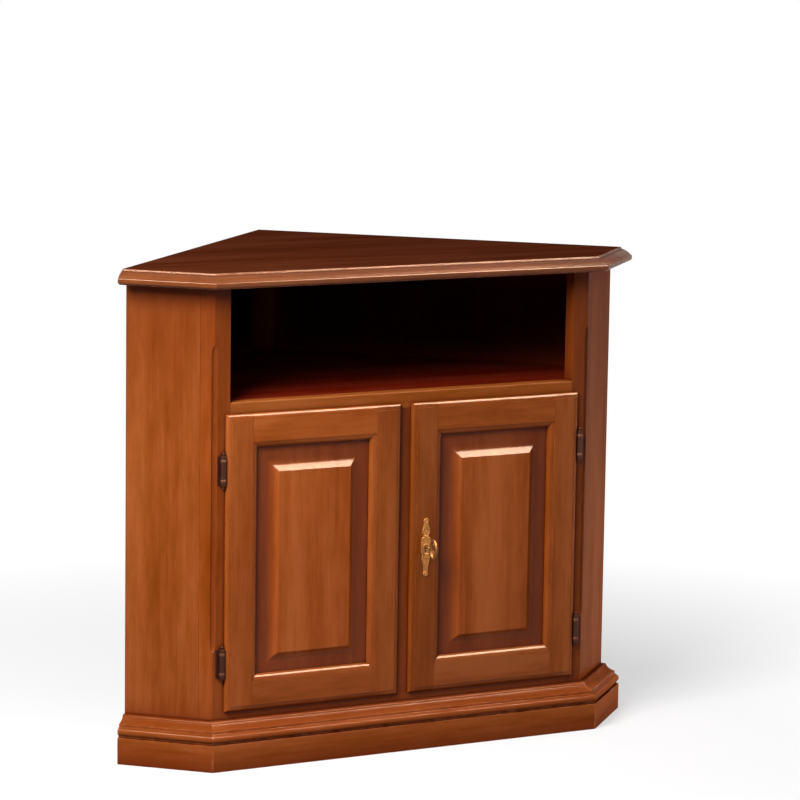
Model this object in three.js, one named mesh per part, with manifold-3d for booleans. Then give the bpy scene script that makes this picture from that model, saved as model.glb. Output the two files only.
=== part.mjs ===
import * as THREE from 'three';
import { mergeVertices } from 'three/addons/utils/BufferGeometryUtils.js';
import Module from 'manifold-3d';

// A cabinet for a square room corner, in millimetres. Its front faces -Y, its two canted sides
// run back to the walls, and the walls meet behind it. Up is +Z.

// Clearances
const gap = 0.3; // between glued, screwed or seated pieces
const slideGap = 0.4; // round pieces that slide or turn
const overrun = 1; // how far a cutter reaches past what it cuts
const weldTolerance = 1e-4;

// Carcass
const cabinetHeight = 800;
const frontWidth = 684; // between the outer arrises of the corner posts
const sideWidth = 150; // canted side, from the post arris to the wall
const cantAngle = Math.PI / 4;
const sideThickness = 20;
const postFrontFace = 27.5;
const postSideFace = 24;
const postDepth = 26;
const railDepth = 22;
const fluteRadius = 6;
const fluteStandOff = 1.5; // axis of the flute, outside the arris
const fluteBottom = 205;
const fluteTop = 667;
const fluteRunOut = 17;
const backThickness = 6;
const backRebate = 10;
const backLift = 12;
const rearPostSize = 34;
const rearPostLand = 12; // strip of the rear post left beside each back panel
const battenSize = 18;
const battenInset = 34; // front end of a side batten, from the post arris

// Boards and rails
const topThickness = 24;
const shelfTop = 591;
const shelfThickness = 18;
const lippingHeight = 27;
const lippingChamfer = 1.5;
const floorTop = 98.5;
const railLift = 12;
const centreStileWidth = 37;
const innerShelfTop = 338;
const innerShelfFront = 72;

// Edge of the top, as overhang past the carcass at each height above the underside
const topOverhang = 37;
const topFilletInset = 6;
const topFilletHeight = 1.4;
const topNoseBottom = 2.2;
const topNoseSquare = 2.5; // where the rounded underside of the nose starts, in from its edge
const topNoseRise = 8.6;
const topNoseLand = 0.8;
const topOvoloTop = 21.4;
const topOvoloFrom = THREE.MathUtils.degToRad(25);
const topOvoloTo = THREE.MathUtils.degToRad(65);
const topArrisInset = 20;
const topArrisRound = 1.2;

// Base
const plinthProjection = 32;
const plinthThickness = 20;
const plinthHeight = 43.7;
const mouldingTop = 77;
const mouldingLedge = 6;
const mouldingLedgeRound = 4;
const mouldingCoveOuter = 23.7;
const mouldingCoveBottom = 65;
const mouldingCoveFrom = THREE.MathUtils.degToRad(-65);
const mouldingCoveTo = THREE.MathUtils.degToRad(-25);
const mouldingGrooveDepth = 24.6;
const mouldingGrooveBottom = 60.8;
const mouldingBeadTop = 58.4;
const mouldingBeadBottom = 47.4;
const mouldingQuirk = 28.2;
const cornerBlockReach = 110;
const cornerBlockHeight = 28;

// Doors
const lipOverlap = 8.3; // door edge over the face frame
const lipThickness = 9;
const lipGap = 0.4;
const openingClearance = 2;
const doorTenonDepth = 8; // back of the door, inside the opening
const edgeLand = 2.5;
const edgeRound = 7.5;
const edgeQuirk = 1;
const edgeQuirkDepth = 1.5;
const memberFace = 37;
const bottomRailFace = 39;
const stickingWidth = 10;
const stickingQuirk = 1;
const stickingQuirkDepth = 1.2;
const stickingDepth = 9;
const grooveDepth = 9;
const panelExpansion = 1;
const panelRecess = 10.3; // margin of the panel, behind the door face
const tongueThickness = 5;
const marginWidth = 17;
const coveWidth = 18.5;
const coveStartAngle = THREE.MathUtils.degToRad(6);
const coveEndAngle = THREE.MathUtils.degToRad(40);
const shoulderRadius = 4; // between the cove and the field
const fieldDrop = 4; // field and cove, below the middle of the panel

// Hinges
const hingeStandOff = 5; // axis in front of the face frame, and outside the door edge
const barrelRadius = 4.6;
const barrelLength = 45;
const middleKnuckle = 17;
const pinRadius = 1.8;
const leafThickness = 1.4;
const frameLeafReach = 8.8;
const doorLeafReach = 14;
const doorLeafSink = 0.15; // let into the back of the door's lip
const lowerHingeInset = 79;
const upperHingeInset = 89.6;
const finialRadius = 2.2;
const finialCollar = 1.4;
const finialLength = 6;
const ringProud = 0.5;

// Lock, key and escutcheon, placed from the axis of the key
const keyInset = 26; // from the meeting edge of the door
const keyHeight = 333;
const keyholeRadius = 2.8;
const keyholeSlotWidth = 2.8;
const keyholeSlotLength = 8;
const escutcheonThickness = 1.6;
const escutcheonHalfWidth = 8.6;
const escutcheonTop = 43.7; // centre of the upper ring above the key axis
const escutcheonBottom = 43.8;
const escutcheonRingRadius = 4.7;
const escutcheonPinRadius = 1.5;
const caseLeft = 15.3;
const caseRight = 28;
const caseBottom = 14;
const caseTop = 18.6;
const caseDepth = 11.7;
const caseWall = 1.2;
const boltThickness = 5;
const boltBottom = 6.8;
const boltTail = 24;
const boltTalonWidth = 9;
const boltTalonDrop = 3;
const boltNose = 1.5;
const mortiseDepth = 9;
const mortiseClearance = 0.8;
const strikeThickness = 1.2;
const strikeHeight = 36;
const strikeWidth = 14;
const keyShaftRadius = 2;
const keyCollarRadius = 3;
const keyCollarLength = 2.4;
const keyNeck = 14.5; // clear length between the escutcheon and the bow
const bowDepth = 11; // half sizes of the bow
const bowHeight = 16.8;
const bowRim = 3.4;
const bowThickness = 2.2;
const bowBevel = 0.7;
const bitReach = 6.2;
const bitLength = 6.5;
const bitThickness = 2;

// Magnetic catch of the left door
const catchDrop = 28; // centre of the catch below the lipping
const catchSize = { width: 15, depth: 20, height: 36 };
const catchPlate = { width: 24, height: 24, thickness: 1.2, inset: 13 };

// Sizes that follow from those above
const sideX = Math.sin(cantAngle);
const sideY = Math.cos(cantAngle);
const cornerSlope = (1 - sideX) / sideY;
const wallLength = (frontWidth / 2 + sideWidth * sideX) / sideY;
const carcassTop = cabinetHeight - topThickness;
const openingHalf = frontWidth / 2 - postFrontFace;
const stileHalf = centreStileWidth / 2;
const lippingBottom = shelfTop - lippingHeight;
const doorOuter = openingHalf + lipOverlap;
const doorInner = stileHalf - lipOverlap;
const doorWidth = doorOuter - doorInner;
const doorBottom = floorTop - lipOverlap;
const doorHeight = lippingBottom + lipOverlap - doorBottom;
const doorFace = -lipGap - lipThickness;
const rebateInset = lipOverlap + openingClearance;
const faceInset = edgeRound + edgeQuirk;
const openingInset = faceInset + memberFace;
const sightInset = openingInset + stickingWidth;
const bottomExtra = bottomRailFace - memberFace;
const marginY = doorFace + panelRecess;
const keyX = doorInner + keyInset;
const caseFront = doorTenonDepth + gap;
const caseBack = caseFront + caseDepth;
const boltFront = (caseFront + caseBack - boltThickness) / 2;
const boltTop = caseTop - caseWall - slideGap;
const catchHeight = lippingBottom - catchDrop;
const plateFace = doorFace - gap - escutcheonThickness;
const bowFront = plateFace - keyNeck - 2 * bowDepth;

// Colours of the wood and metal
function finish(color, roughness, metalness = 0) {
  return new THREE.MeshStandardMaterial({ color, roughness, metalness });
}
const materials = {
  top: finish(0x6b3018, 0.35),
  carcass: finish(0xa35a2a, 0.42),
  door: finish(0x8a4420, 0.4),
  panel: finish(0x93481f, 0.4),
  base: finish(0x7a3a1c, 0.4),
  inside: finish(0x8f6a45, 0.7),
  bronze: finish(0x4a2616, 0.45, 0.8),
  brass: finish(0xc08a4e, 0.4, 0.85),
  steel: finish(0x8d8d8a, 0.4, 0.9),
};

// Solids
function facingOut(geometry) {
  const position = geometry.getAttribute('position');
  const index = geometry.getIndex().array;
  const corners = [new THREE.Vector3(), new THREE.Vector3(), new THREE.Vector3()];
  let volume = 0;
  for (let i = 0; i < index.length; i += 3) {
    corners.forEach((corner, k) => corner.fromBufferAttribute(position, index[i + k]));
    volume += corners[0].dot(corners[1].cross(corners[2]));
  }
  if (volume < 0) {
    for (let i = 0; i < index.length; i += 3) {
      [index[i + 1], index[i + 2]] = [index[i + 2], index[i + 1]];
    }
  }
  return geometry;
}

// Joins rings of points, alike in number, and closes both ends with the cap outline's triangles
function loft(rings, capOutline) {
  const count = capOutline.length;
  const indices = [];
  for (let start = 0; start < (rings.length - 1) * count; start += count) {
    for (let i = 0; i < count; i++) {
      const here = start + i;
      const next = start + ((i + 1) % count);
      indices.push(here, next, next + count, here, next + count, here + count);
    }
  }
  const last = (rings.length - 1) * count;
  const clockwise = THREE.ShapeUtils.isClockWise(capOutline);
  for (const triangle of THREE.ShapeUtils.triangulateShape(capOutline, [])) {
    const [a, b, c] = clockwise ? triangle.toReversed() : triangle;
    indices.push(c, b, a, last + a, last + b, last + c);
  }
  const geometry = new THREE.BufferGeometry();
  const positions = rings.flat().flatMap((point) => point.toArray());
  geometry.setAttribute('position', new THREE.Float32BufferAttribute(positions, 3));
  geometry.setIndex(indices);
  return facingOut(geometry);
}

function prism(outline, bottom, top) {
  const shape = outline instanceof THREE.Shape ? outline : new THREE.Shape(outline);
  const settings = { depth: top - bottom, bevelEnabled: false, curveSegments: 10 };
  return new THREE.ExtrudeGeometry(shape, settings).translate(0, 0, bottom);
}

// An outline drawn in X and Z, given thickness along Y
function frontPrism(outline, front, back) {
  return prism(outline, -back, -front).rotateX(Math.PI / 2);
}

function box(x0, x1, y0, y1, z0, z1) {
  const geometry = new THREE.BoxGeometry(x1 - x0, y1 - y0, z1 - z0);
  return geometry.translate((x0 + x1) / 2, (y0 + y1) / 2, (z0 + z1) / 2);
}

// A turned solid on the Z axis, from [radius, height] pairs
function turned(profile, segments) {
  const points = profile.map(([radius, height]) => new THREE.Vector2(radius, height));
  return new THREE.LatheGeometry(points, segments).rotateX(Math.PI / 2);
}

function mirrored(geometry) {
  const copy = geometry.index ? geometry.clone() : mergeVertices(bare(geometry), weldTolerance);
  copy.scale(-1, 1, 1);
  return facingOut(copy);
}

function bare(geometry) {
  const copy = geometry.clone();
  for (const name of ['normal', 'uv']) {
    copy.deleteAttribute(name);
  }
  return copy;
}

const wasm = await Module();
wasm.setup();

function toSolid(geometry) {
  const merged = mergeVertices(bare(geometry), weldTolerance);
  const index = merged.getIndex().array;
  const triangles = [];
  for (let i = 0; i < index.length; i += 3) {
    const [a, b, c] = index.slice(i, i + 3);
    if (a !== b && b !== c && c !== a) triangles.push(a, b, c);
  }
  return new wasm.Manifold(new wasm.Mesh({
    numProp: 3,
    vertProperties: new Float32Array(merged.getAttribute('position').array),
    triVerts: new Uint32Array(triangles),
  }));
}

function toGeometry(solid) {
  const mesh = solid.getMesh();
  const geometry = new THREE.BufferGeometry();
  geometry.setAttribute('position', new THREE.BufferAttribute(mesh.vertProperties, mesh.numProp));
  geometry.setIndex(new THREE.BufferAttribute(mesh.triVerts, 1));
  return geometry;
}

function cut(geometry, ...tools) {
  return toGeometry(tools.reduce((solid, tool) => solid.subtract(toSolid(tool)), toSolid(geometry)));
}

function common(geometry, tool) {
  return toGeometry(toSolid(geometry).intersect(toSolid(tool)));
}

function join(first, ...others) {
  return toGeometry(others.reduce((solid, other) => solid.add(toSolid(other)), toSolid(first)));
}

function addPart(group, name, geometry, material, place = [0, 0, 0]) {
  const solid = toGeometry(toSolid(geometry)).toNonIndexed();
  solid.computeVertexNormals();
  const mesh = new THREE.Mesh(solid, material);
  mesh.name = name;
  mesh.position.set(...place);
  group.add(mesh);
}

// Plan of the carcass. A place on the right side is given along the side from the post arris,
// and inward from its outer face. Walls meet the sides squarely, so inward also runs along a wall.
function sidePoint(along, inward) {
  const x = frontWidth / 2 + along * sideX - inward * sideY;
  return new THREE.Vector2(x, along * sideY + inward * sideX);
}

function innerSideAt(y, inward) {
  return sidePoint((y - inward * sideX) / sideY, inward);
}

function mirrorPoint(point) {
  return new THREE.Vector2(-point.x, point.y);
}

function symmetric(rightPoints, middle = []) {
  return [...rightPoints, ...middle, ...rightPoints.map(mirrorPoint).reverse()];
}

function sideRectangle(along0, along1, inward0, inward1) {
  return [
    sidePoint(along0, inward0),
    sidePoint(along1, inward0),
    sidePoint(along1, inward1),
    sidePoint(along0, inward1),
  ];
}

function cornerX(overhang) {
  return frontWidth / 2 + overhang * cornerSlope;
}

function perimeter(overhang) {
  const front = new THREE.Vector2(cornerX(overhang), -overhang);
  return symmetric([front, sidePoint(sideWidth, -overhang)], [sidePoint(sideWidth, wallLength)]);
}

function arc(steps, from, to, place) {
  return Array.from({ length: steps + 1 }, (_, i) => place(from + ((to - from) * i) / steps));
}

// Points from one [overhang, height] to another on part of a circle, stretched to reach both
function sweep(steps, [x0, y0], [x1, y1], from, to) {
  const share = (angle, turn) => (turn(angle) - turn(from)) / (turn(to) - turn(from));
  return arc(steps, from, to, (angle) => [
    THREE.MathUtils.lerp(x0, x1, share(angle, Math.cos)),
    THREE.MathUtils.lerp(y0, y1, share(angle, Math.sin)),
  ]);
}

function topBoard() {
  const noseTop = topNoseBottom + topNoseRise;
  const ovoloFoot = noseTop + topNoseLand;
  const quirk = topOverhang - topFilletInset;
  const ovoloInner = topOverhang - topArrisInset + topArrisRound;
  const ovolo = [[topOverhang - 3 * topNoseLand, ovoloFoot], [ovoloInner, topOvoloTop]];
  const profile = [
    [quirk, 0],
    [quirk, topFilletHeight],
    [topOverhang - topNoseSquare - topNoseLand, topNoseBottom],
    ...arc(4, -Math.PI / 2, 0, (angle) => [
      topOverhang - topNoseSquare + topNoseSquare * Math.cos(angle),
      topNoseBottom + (topNoseRise / 2) * (1 + Math.sin(angle)),
    ]),
    [topOverhang, noseTop - topNoseLand],
    [topOverhang - topNoseLand, noseTop],
    [topOverhang - 2 * topNoseLand, ovoloFoot],
    ...sweep(4, ...ovolo, topOvoloFrom, topOvoloTo),
    [ovoloInner, topThickness - topArrisRound],
    [ovoloInner - topArrisRound, topThickness],
  ];
  const rings = profile.map(([overhang, height]) => (
    perimeter(overhang).map(({ x, y }) => new THREE.Vector3(x, y, carcassTop + height))
  ));
  return loft(rings, perimeter(0));
}

// A bar along the front or the right side with mitred corners, from [overhang, height] pairs
function frontBar(profile) {
  const mitre = gap / 2;
  const ends = [-1, 1].map((side) => profile.map(([overhang, height]) => (
    new THREE.Vector3(side * (cornerX(overhang) - mitre), -overhang, height)
  )));
  return loft(ends, profile.map(([overhang, height]) => new THREE.Vector2(overhang, height)));
}

function sideBar(profile) {
  const mitre = gap / 2;
  const section = (along) => profile.map(([overhang, height]) => {
    const { x, y } = sidePoint(along(overhang), -overhang);
    return new THREE.Vector3(x, y, height);
  });
  const ends = [section((overhang) => mitre - overhang * cornerSlope), section(() => sideWidth)];
  return loft(ends, profile.map(([overhang, height]) => new THREE.Vector2(overhang, height)));
}

const plinthProfile = [
  [plinthProjection - plinthThickness, 0],
  [plinthProjection, 0],
  [plinthProjection, plinthHeight],
  [plinthProjection - plinthThickness, plinthHeight],
];

function mouldingProfile() {
  const bottom = plinthHeight + gap;
  const ledgeOuter = mouldingLedge + mouldingLedgeRound;
  const coveTop = mouldingTop - mouldingLedgeRound;
  const beadMiddle = (mouldingBeadTop + mouldingBeadBottom) / 2;
  const beadRadius = (mouldingBeadTop - mouldingBeadBottom) / 2;
  const beadWidth = plinthProjection - mouldingQuirk;
  const cove = [[mouldingCoveOuter, mouldingCoveBottom], [ledgeOuter, coveTop - gap]];
  return [
    [gap, bottom],
    [mouldingQuirk, bottom],
    ...arc(6, -Math.PI / 2, Math.PI / 2, (angle) => [
      mouldingQuirk + beadWidth * Math.cos(angle),
      beadMiddle + beadRadius * Math.sin(angle),
    ]),
    [mouldingGrooveDepth, mouldingGrooveBottom],
    [mouldingGrooveDepth, mouldingCoveBottom - gap],
    ...sweep(4, ...cove, mouldingCoveFrom, mouldingCoveTo),
    ...arc(3, 0, Math.PI / 2, (angle) => [
      mouldingLedge + mouldingLedgeRound * Math.cos(angle),
      coveTop + mouldingLedgeRound * Math.sin(angle),
    ]),
    [gap, mouldingTop],
  ];
}

// Corner post with a stopped flute down its arris
function cornerPost() {
  const outline = [
    new THREE.Vector2(openingHalf, 0),
    new THREE.Vector2(frontWidth / 2, 0),
    sidePoint(postSideFace, 0),
    sidePoint(postSideFace, sideThickness),
    innerSideAt(postDepth, sideThickness),
    new THREE.Vector2(openingHalf, postDepth),
  ];
  const outward = -(Math.PI / 2 + cantAngle) / 2;
  const run = arc(5, 0, Math.PI / 2, (angle) => [
    fluteRadius * Math.sin(angle),
    fluteRunOut * Math.cos(angle),
  ]);
  const flute = turned([
    ...run.map(([radius, height]) => [radius, fluteBottom - height]),
    ...run.map(([radius, height]) => [radius, fluteTop + height]).reverse(),
  ], 20);
  flute.translate(
    frontWidth / 2 + fluteStandOff * Math.cos(outward),
    fluteStandOff * Math.sin(outward),
    0,
  );
  return cut(prism(outline, 0, carcassTop - gap), flute);
}

function sidePanel() {
  const start = postSideFace + gap;
  const rebateStart = sideWidth - backThickness - gap;
  const land = sideThickness - backRebate;
  const outline = [
    sidePoint(start, 0),
    sidePoint(sideWidth, 0),
    sidePoint(sideWidth, land),
    sidePoint(rebateStart, land),
    sidePoint(rebateStart, sideThickness),
    sidePoint(start, sideThickness),
  ];
  return prism(outline, 0, carcassTop - gap);
}

function backPanel() {
  const near = sideThickness - backRebate + gap;
  const far = wallLength - rearPostLand - gap;
  const outline = sideRectangle(sideWidth - backThickness, sideWidth, near, far);
  return prism(outline, backLift, carcassTop - gap);
}

function rearPost() {
  const land = rearPostLand;
  const rebate = backThickness + gap;
  const size = rearPostSize;
  const corners = [[0, 0], [land, 0], [land, rebate], [size, rebate], [size, size],
    [rebate, size], [rebate, land], [0, land]];
  const outline = corners.map(([along, deep]) => sidePoint(sideWidth - deep, wallLength - along));
  return prism(outline, 0, carcassTop - gap);
}

// A board that fills the carcass behind the line front, notched round the posts
function innerBoard(front, top) {
  const inward = sideThickness + gap;
  const wall = sideWidth - backThickness - gap;
  const behindPost = postDepth + gap;
  const atPost = [
    new THREE.Vector2(openingHalf - gap, front),
    new THREE.Vector2(openingHalf - gap, behindPost),
    innerSideAt(behindPost, inward),
  ];
  const right = [
    ...(front < behindPost ? atPost : [innerSideAt(front, inward)]),
    sidePoint(wall, inward),
    sidePoint(wall, wallLength - rearPostSize - gap),
  ];
  const notch = sidePoint(sideWidth - rearPostSize - gap, wallLength - rearPostSize - gap);
  return prism(symmetric(right, [notch]), top - shelfThickness, top);
}

// An angled batten under a board, along the right side and its wall
function batten(top) {
  const side = sideThickness + gap;
  const wall = sideWidth - backThickness - gap;
  const far = wallLength - rearPostSize - gap;
  const outline = [
    sidePoint(battenInset, side),
    sidePoint(wall, side),
    sidePoint(wall, far),
    sidePoint(wall - battenSize, far),
    sidePoint(wall - battenSize, side + battenSize),
    sidePoint(battenInset, side + battenSize),
  ];
  return prism(outline, top - battenSize, top);
}

function lipping() {
  const outline = [
    [0, lippingBottom],
    [0, shelfTop - lippingChamfer],
    [lippingChamfer, shelfTop],
    [railDepth, shelfTop],
    [railDepth, lippingBottom],
  ];
  const ends = [gap - openingHalf, openingHalf - gap].map((x) => (
    outline.map(([y, z]) => new THREE.Vector3(x, y, z))
  ));
  return loft(ends, outline.map(([y, z]) => new THREE.Vector2(y, z)));
}

function boltZ(clearance) {
  return [keyHeight + boltBottom - clearance, keyHeight + boltTop + clearance];
}

function strikeCentre() {
  return keyHeight + (boltBottom + boltTop) / 2;
}

function strikeBox(depth, clearance, reach = 0) {
  const width = strikeWidth + 2 * clearance;
  const height = strikeHeight + 2 * clearance;
  const y = boltFront + (boltThickness - width) / 2;
  const z = strikeCentre() - height / 2;
  return box(stileHalf - depth, stileHalf + reach, y, y + width, z, z + height);
}

function boltHole(depth) {
  const [bottom, top] = boltZ(mortiseClearance);
  const front = boltFront - mortiseClearance;
  const back = boltFront + boltThickness + mortiseClearance;
  return box(stileHalf - depth, stileHalf + overrun, front, back, bottom, top);
}

function centreStile() {
  const stile = box(-stileHalf, stileHalf, 0, railDepth, floorTop + gap, lippingBottom - gap);
  return cut(stile, strikeBox(strikeThickness + gap, gap, overrun), boltHole(mortiseDepth));
}

function strikePlate() {
  return cut(strikeBox(strikeThickness, 0), boltHole(strikeThickness + overrun));
}

// Packing between the right corner of the carcass and its two plinth boards
function cornerBlock() {
  const inner = gap;
  const outer = plinthProjection - plinthThickness - gap;
  const start = frontWidth / 2 - cornerBlockReach;
  const outline = [
    new THREE.Vector2(start, -inner),
    new THREE.Vector2(cornerX(inner), -inner),
    sidePoint(cornerBlockReach, -inner),
    sidePoint(cornerBlockReach, -outer),
    new THREE.Vector2(cornerX(outer), -outer),
    new THREE.Vector2(start, -outer),
  ];
  return prism(outline, backLift, backLift + cornerBlockHeight);
}

// Doors, drawn from the hinge edge at X = 0 towards the meeting edge, and up from the bottom edge
function doorRing(inset, y, extra = 0, drop = 0) {
  const low = inset + extra - drop;
  const high = doorHeight - inset - drop;
  return [
    new THREE.Vector3(inset, y, low),
    new THREE.Vector3(doorWidth - inset, y, low),
    new THREE.Vector3(doorWidth - inset, y, high),
    new THREE.Vector3(inset, y, high),
  ];
}

function doorLoft(profile, extra = 0) {
  const rings = profile.map(([inset, y, drop]) => doorRing(inset, y, extra, drop));
  return loft(rings, rings[0].map(({ x, z }) => new THREE.Vector2(x, z)));
}

function doorFrame() {
  const roundDepth = lipThickness - edgeLand - edgeQuirkDepth;
  const edge = arc(5, 0, Math.PI / 2, (angle) => [
    edgeRound * (1 - Math.cos(angle)),
    -lipGap - edgeLand - roundDepth * Math.sin(angle),
  ]);
  const slab = doorLoft([
    [rebateInset, doorTenonDepth],
    [rebateInset, -lipGap],
    [0, -lipGap],
    ...edge,
    [faceInset, doorFace + edgeQuirkDepth],
    [faceInset, doorFace],
  ]);
  const stickingFoot = doorFace + stickingDepth;
  const roundWidth = stickingWidth - stickingQuirk;
  const roundHeight = stickingDepth - stickingQuirkDepth;
  const sticking = arc(5, 0, Math.PI / 2, (angle) => [
    openingInset + stickingQuirk + roundWidth * Math.sin(angle),
    stickingFoot - roundHeight * Math.cos(angle),
  ]);
  const opening = doorLoft([
    [openingInset, doorFace - overrun],
    [openingInset, doorFace + stickingQuirkDepth],
    ...sticking,
    [sightInset, doorTenonDepth + overrun],
  ], bottomExtra);
  const groove = doorLoft([
    [sightInset - grooveDepth, marginY - gap],
    [sightInset - grooveDepth, marginY + tongueThickness + gap],
  ], bottomExtra);
  return cut(slab, opening, groove);
}

// Outline that holds one stile: its whole face, and its moulding between the mitres
function stileOutline(clearance) {
  const face = openingInset + clearance;
  const sight = sightInset + clearance;
  const shift = clearance * (Math.SQRT2 - 1);
  return [
    [-overrun, -overrun],
    [face, -overrun],
    [face, openingInset + bottomExtra - shift],
    [sight, sightInset + bottomExtra - shift],
    [sight, doorHeight - sightInset + shift],
    [face, doorHeight - openingInset + shift],
    [face, doorHeight + overrun],
    [-overrun, doorHeight + overrun],
  ].map(([x, z]) => new THREE.Vector2(x, z));
}

function doorMembers() {
  const frame = doorFrame();
  const front = doorFace - overrun;
  const back = doorTenonDepth + overrun;
  const flip = (outline) => outline.map(({ x, y }) => new THREE.Vector2(doorWidth - x, y));
  const stiles = [stileOutline(0), flip(stileOutline(0))].map((outline) => (
    common(frame, frontPrism(outline, front, back))
  ));
  const wide = stileOutline(gap);
  const rails = cut(frame, frontPrism(wide, front, back), frontPrism(flip(wide), front, back));
  const middle = doorHeight / 2;
  const lower = box(0, doorWidth, front, back, -overrun, middle);
  const upper = box(0, doorWidth, front, back, middle, doorHeight + overrun);
  return {
    hingeStile: cut(stiles[0], ...hingeHeights.map(leafRecess)),
    meetingStile: stiles[1],
    bottomRail: common(rails, lower),
    topRail: common(rails, upper),
  };
}

function raisedPanel() {
  const tongue = sightInset - grooveDepth + panelExpansion;
  const coveInset = sightInset + marginWidth;
  const radius = coveWidth / (Math.sin(coveEndAngle) - Math.sin(coveStartAngle));
  const cove = arc(5, coveStartAngle, coveEndAngle, (angle) => [
    coveInset + radius * (Math.sin(angle) - Math.sin(coveStartAngle)),
    marginY - radius * (Math.cos(coveStartAngle) - Math.cos(angle)),
    fieldDrop,
  ]);
  const [shoulderInset, shoulderY] = cove.at(-1);
  const shoulder = arc(3, coveEndAngle, 0, (angle) => [
    shoulderInset + shoulderRadius * (Math.sin(coveEndAngle) - Math.sin(angle)),
    shoulderY - shoulderRadius * (Math.cos(angle) - Math.cos(coveEndAngle)),
    fieldDrop,
  ]);
  return doorLoft([
    [tongue, marginY + tongueThickness],
    [tongue, marginY],
    ...cove,
    ...shoulder.slice(1),
  ], bottomExtra);
}

function keyhole(front, back) {
  const slot = keyholeSlotWidth / 2;
  const round = turned([
    [0, -back],
    [keyholeRadius, -back],
    [keyholeRadius, -front],
    [0, -front],
  ], 20).rotateX(Math.PI / 2);
  return join(round, box(-slot, slot, front, back, -keyholeSlotLength, 0));
}

// Hinge, drawn round its own axis, with the frame leaf towards -X and the door leaf towards +X
const hingeHeights = [lowerHingeInset, doorHeight - upperHingeInset];

function knuckle(bottom, top) {
  const bore = pinRadius + gap;
  return turned([
    [bore, bottom],
    [barrelRadius, bottom],
    [barrelRadius, top],
    [bore, top],
    [bore, bottom],
  ], 20);
}

function frameLeaf() {
  const half = barrelLength / 2;
  const joint = middleKnuckle / 2 + gap;
  const back = hingeStandOff - gap;
  const front = back - leafThickness;
  const clear = barrelRadius + slideGap;
  const bore = pinRadius + gap;
  const leaf = box(-frameLeafReach, -clear, front, back, -half, half);
  const knuckles = [[-half, -joint], [joint, half]].flatMap(([bottom, top]) => [
    knuckle(bottom, top),
    box(-clear - gap, -bore, front, back, bottom, top),
  ]);
  return join(leaf, ...knuckles);
}

function doorLeaf() {
  const half = middleKnuckle / 2;
  const back = hingeStandOff - lipGap - doorLeafSink;
  const front = back - leafThickness;
  const clear = barrelRadius + slideGap;
  const leaf = box(clear, doorLeafReach, front, back, -barrelLength / 2, barrelLength / 2);
  const web = box(pinRadius + gap, clear + gap, front, back, -half, half);
  return join(leaf, knuckle(-half, half), web);
}

function leafRecess(height) {
  const half = barrelLength / 2 + gap;
  const front = -lipGap - doorLeafSink - leafThickness - gap;
  const reach = doorLeafReach - hingeStandOff + gap;
  return box(-overrun, reach, front, overrun - lipGap, height - half, height + half);
}

function hingePin() {
  const half = barrelLength / 2 + gap;
  const neck = finialRadius / 2;
  const ball = half + finialCollar + neck + finialRadius;
  const upper = [
    [pinRadius, half],
    [barrelRadius - ringProud, half],
    [barrelRadius - ringProud, half + finialCollar],
    [neck, half + finialCollar + neck / 2],
    ...arc(5, -Math.PI / 3, Math.PI / 2, (angle) => [
      finialRadius * Math.cos(angle),
      ball + finialRadius * Math.sin(angle),
    ]).slice(0, -1),
    [0, half + finialLength],
  ];
  const lower = upper.map(([radius, height]) => [radius, -height]).reverse();
  return turned([...lower, ...upper], 16);
}

// Escutcheon outline from the lower ring to the upper one, as shares of its half width and lengths
const escutcheonUpperShares = [
  [0.99, 0.16], [1, 0.3], [0.78, 0.37], [0.6, 0.44], [0.84, 0.56], [0.76, 0.68], [0.6, 0.78],
  [0.52, 0.86], [0.36, 0.95],
];
const escutcheonLowerShares = [
  [0.36, 0.94], [0.52, 0.84], [0.48, 0.74], [0.64, 0.6], [0.84, 0.46], [0.86, 0.35], [0.74, 0.28],
  [0.98, 0.2],
];

function escutcheon() {
  const back = doorFace - gap;
  const upper = escutcheonUpperShares.map(([width, height]) => (
    new THREE.Vector2(width * escutcheonHalfWidth, height * escutcheonTop)
  ));
  const lower = escutcheonLowerShares.map(([width, height]) => (
    new THREE.Vector2(width * escutcheonHalfWidth, -height * escutcheonBottom)
  ));
  const curve = new THREE.SplineCurve([...lower, ...upper]);
  const plate = frontPrism(symmetric(curve.getPoints(40)), plateFace, back);
  const disc = (radius, height, front, end) => (
    turned([[0, -end], [radius, -end], [radius, -front], [0, -front]], 20)
      .rotateX(Math.PI / 2).translate(0, 0, height)
  );
  const heights = [escutcheonTop, -escutcheonBottom];
  const rings = heights.map((height) => disc(escutcheonRingRadius, height, plateFace, back));
  const pins = heights.map((height) => (
    disc(escutcheonPinRadius, height, plateFace - overrun, back + overrun)
  ));
  return cut(join(plate, ...rings), ...pins, keyhole(plateFace - overrun, back + overrun));
}

function lockCase() {
  const bottom = -caseBottom;
  const outer = box(-caseLeft, caseRight, caseFront, caseBack, bottom, caseTop);
  const inner = box(
    caseWall - caseLeft,
    caseRight - caseWall,
    caseFront + caseWall,
    caseBack - caseWall,
    bottom + caseWall,
    caseTop - caseWall,
  );
  const slot = box(
    -caseLeft - overrun,
    overrun - caseLeft + caseWall,
    boltFront - slideGap,
    boltFront + boltThickness + slideGap,
    boltBottom - slideGap,
    boltTop + slideGap / 2,
  );
  return cut(outer, inner, slot, keyhole(caseFront - overrun, caseFront + caseWall + overrun));
}

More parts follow.
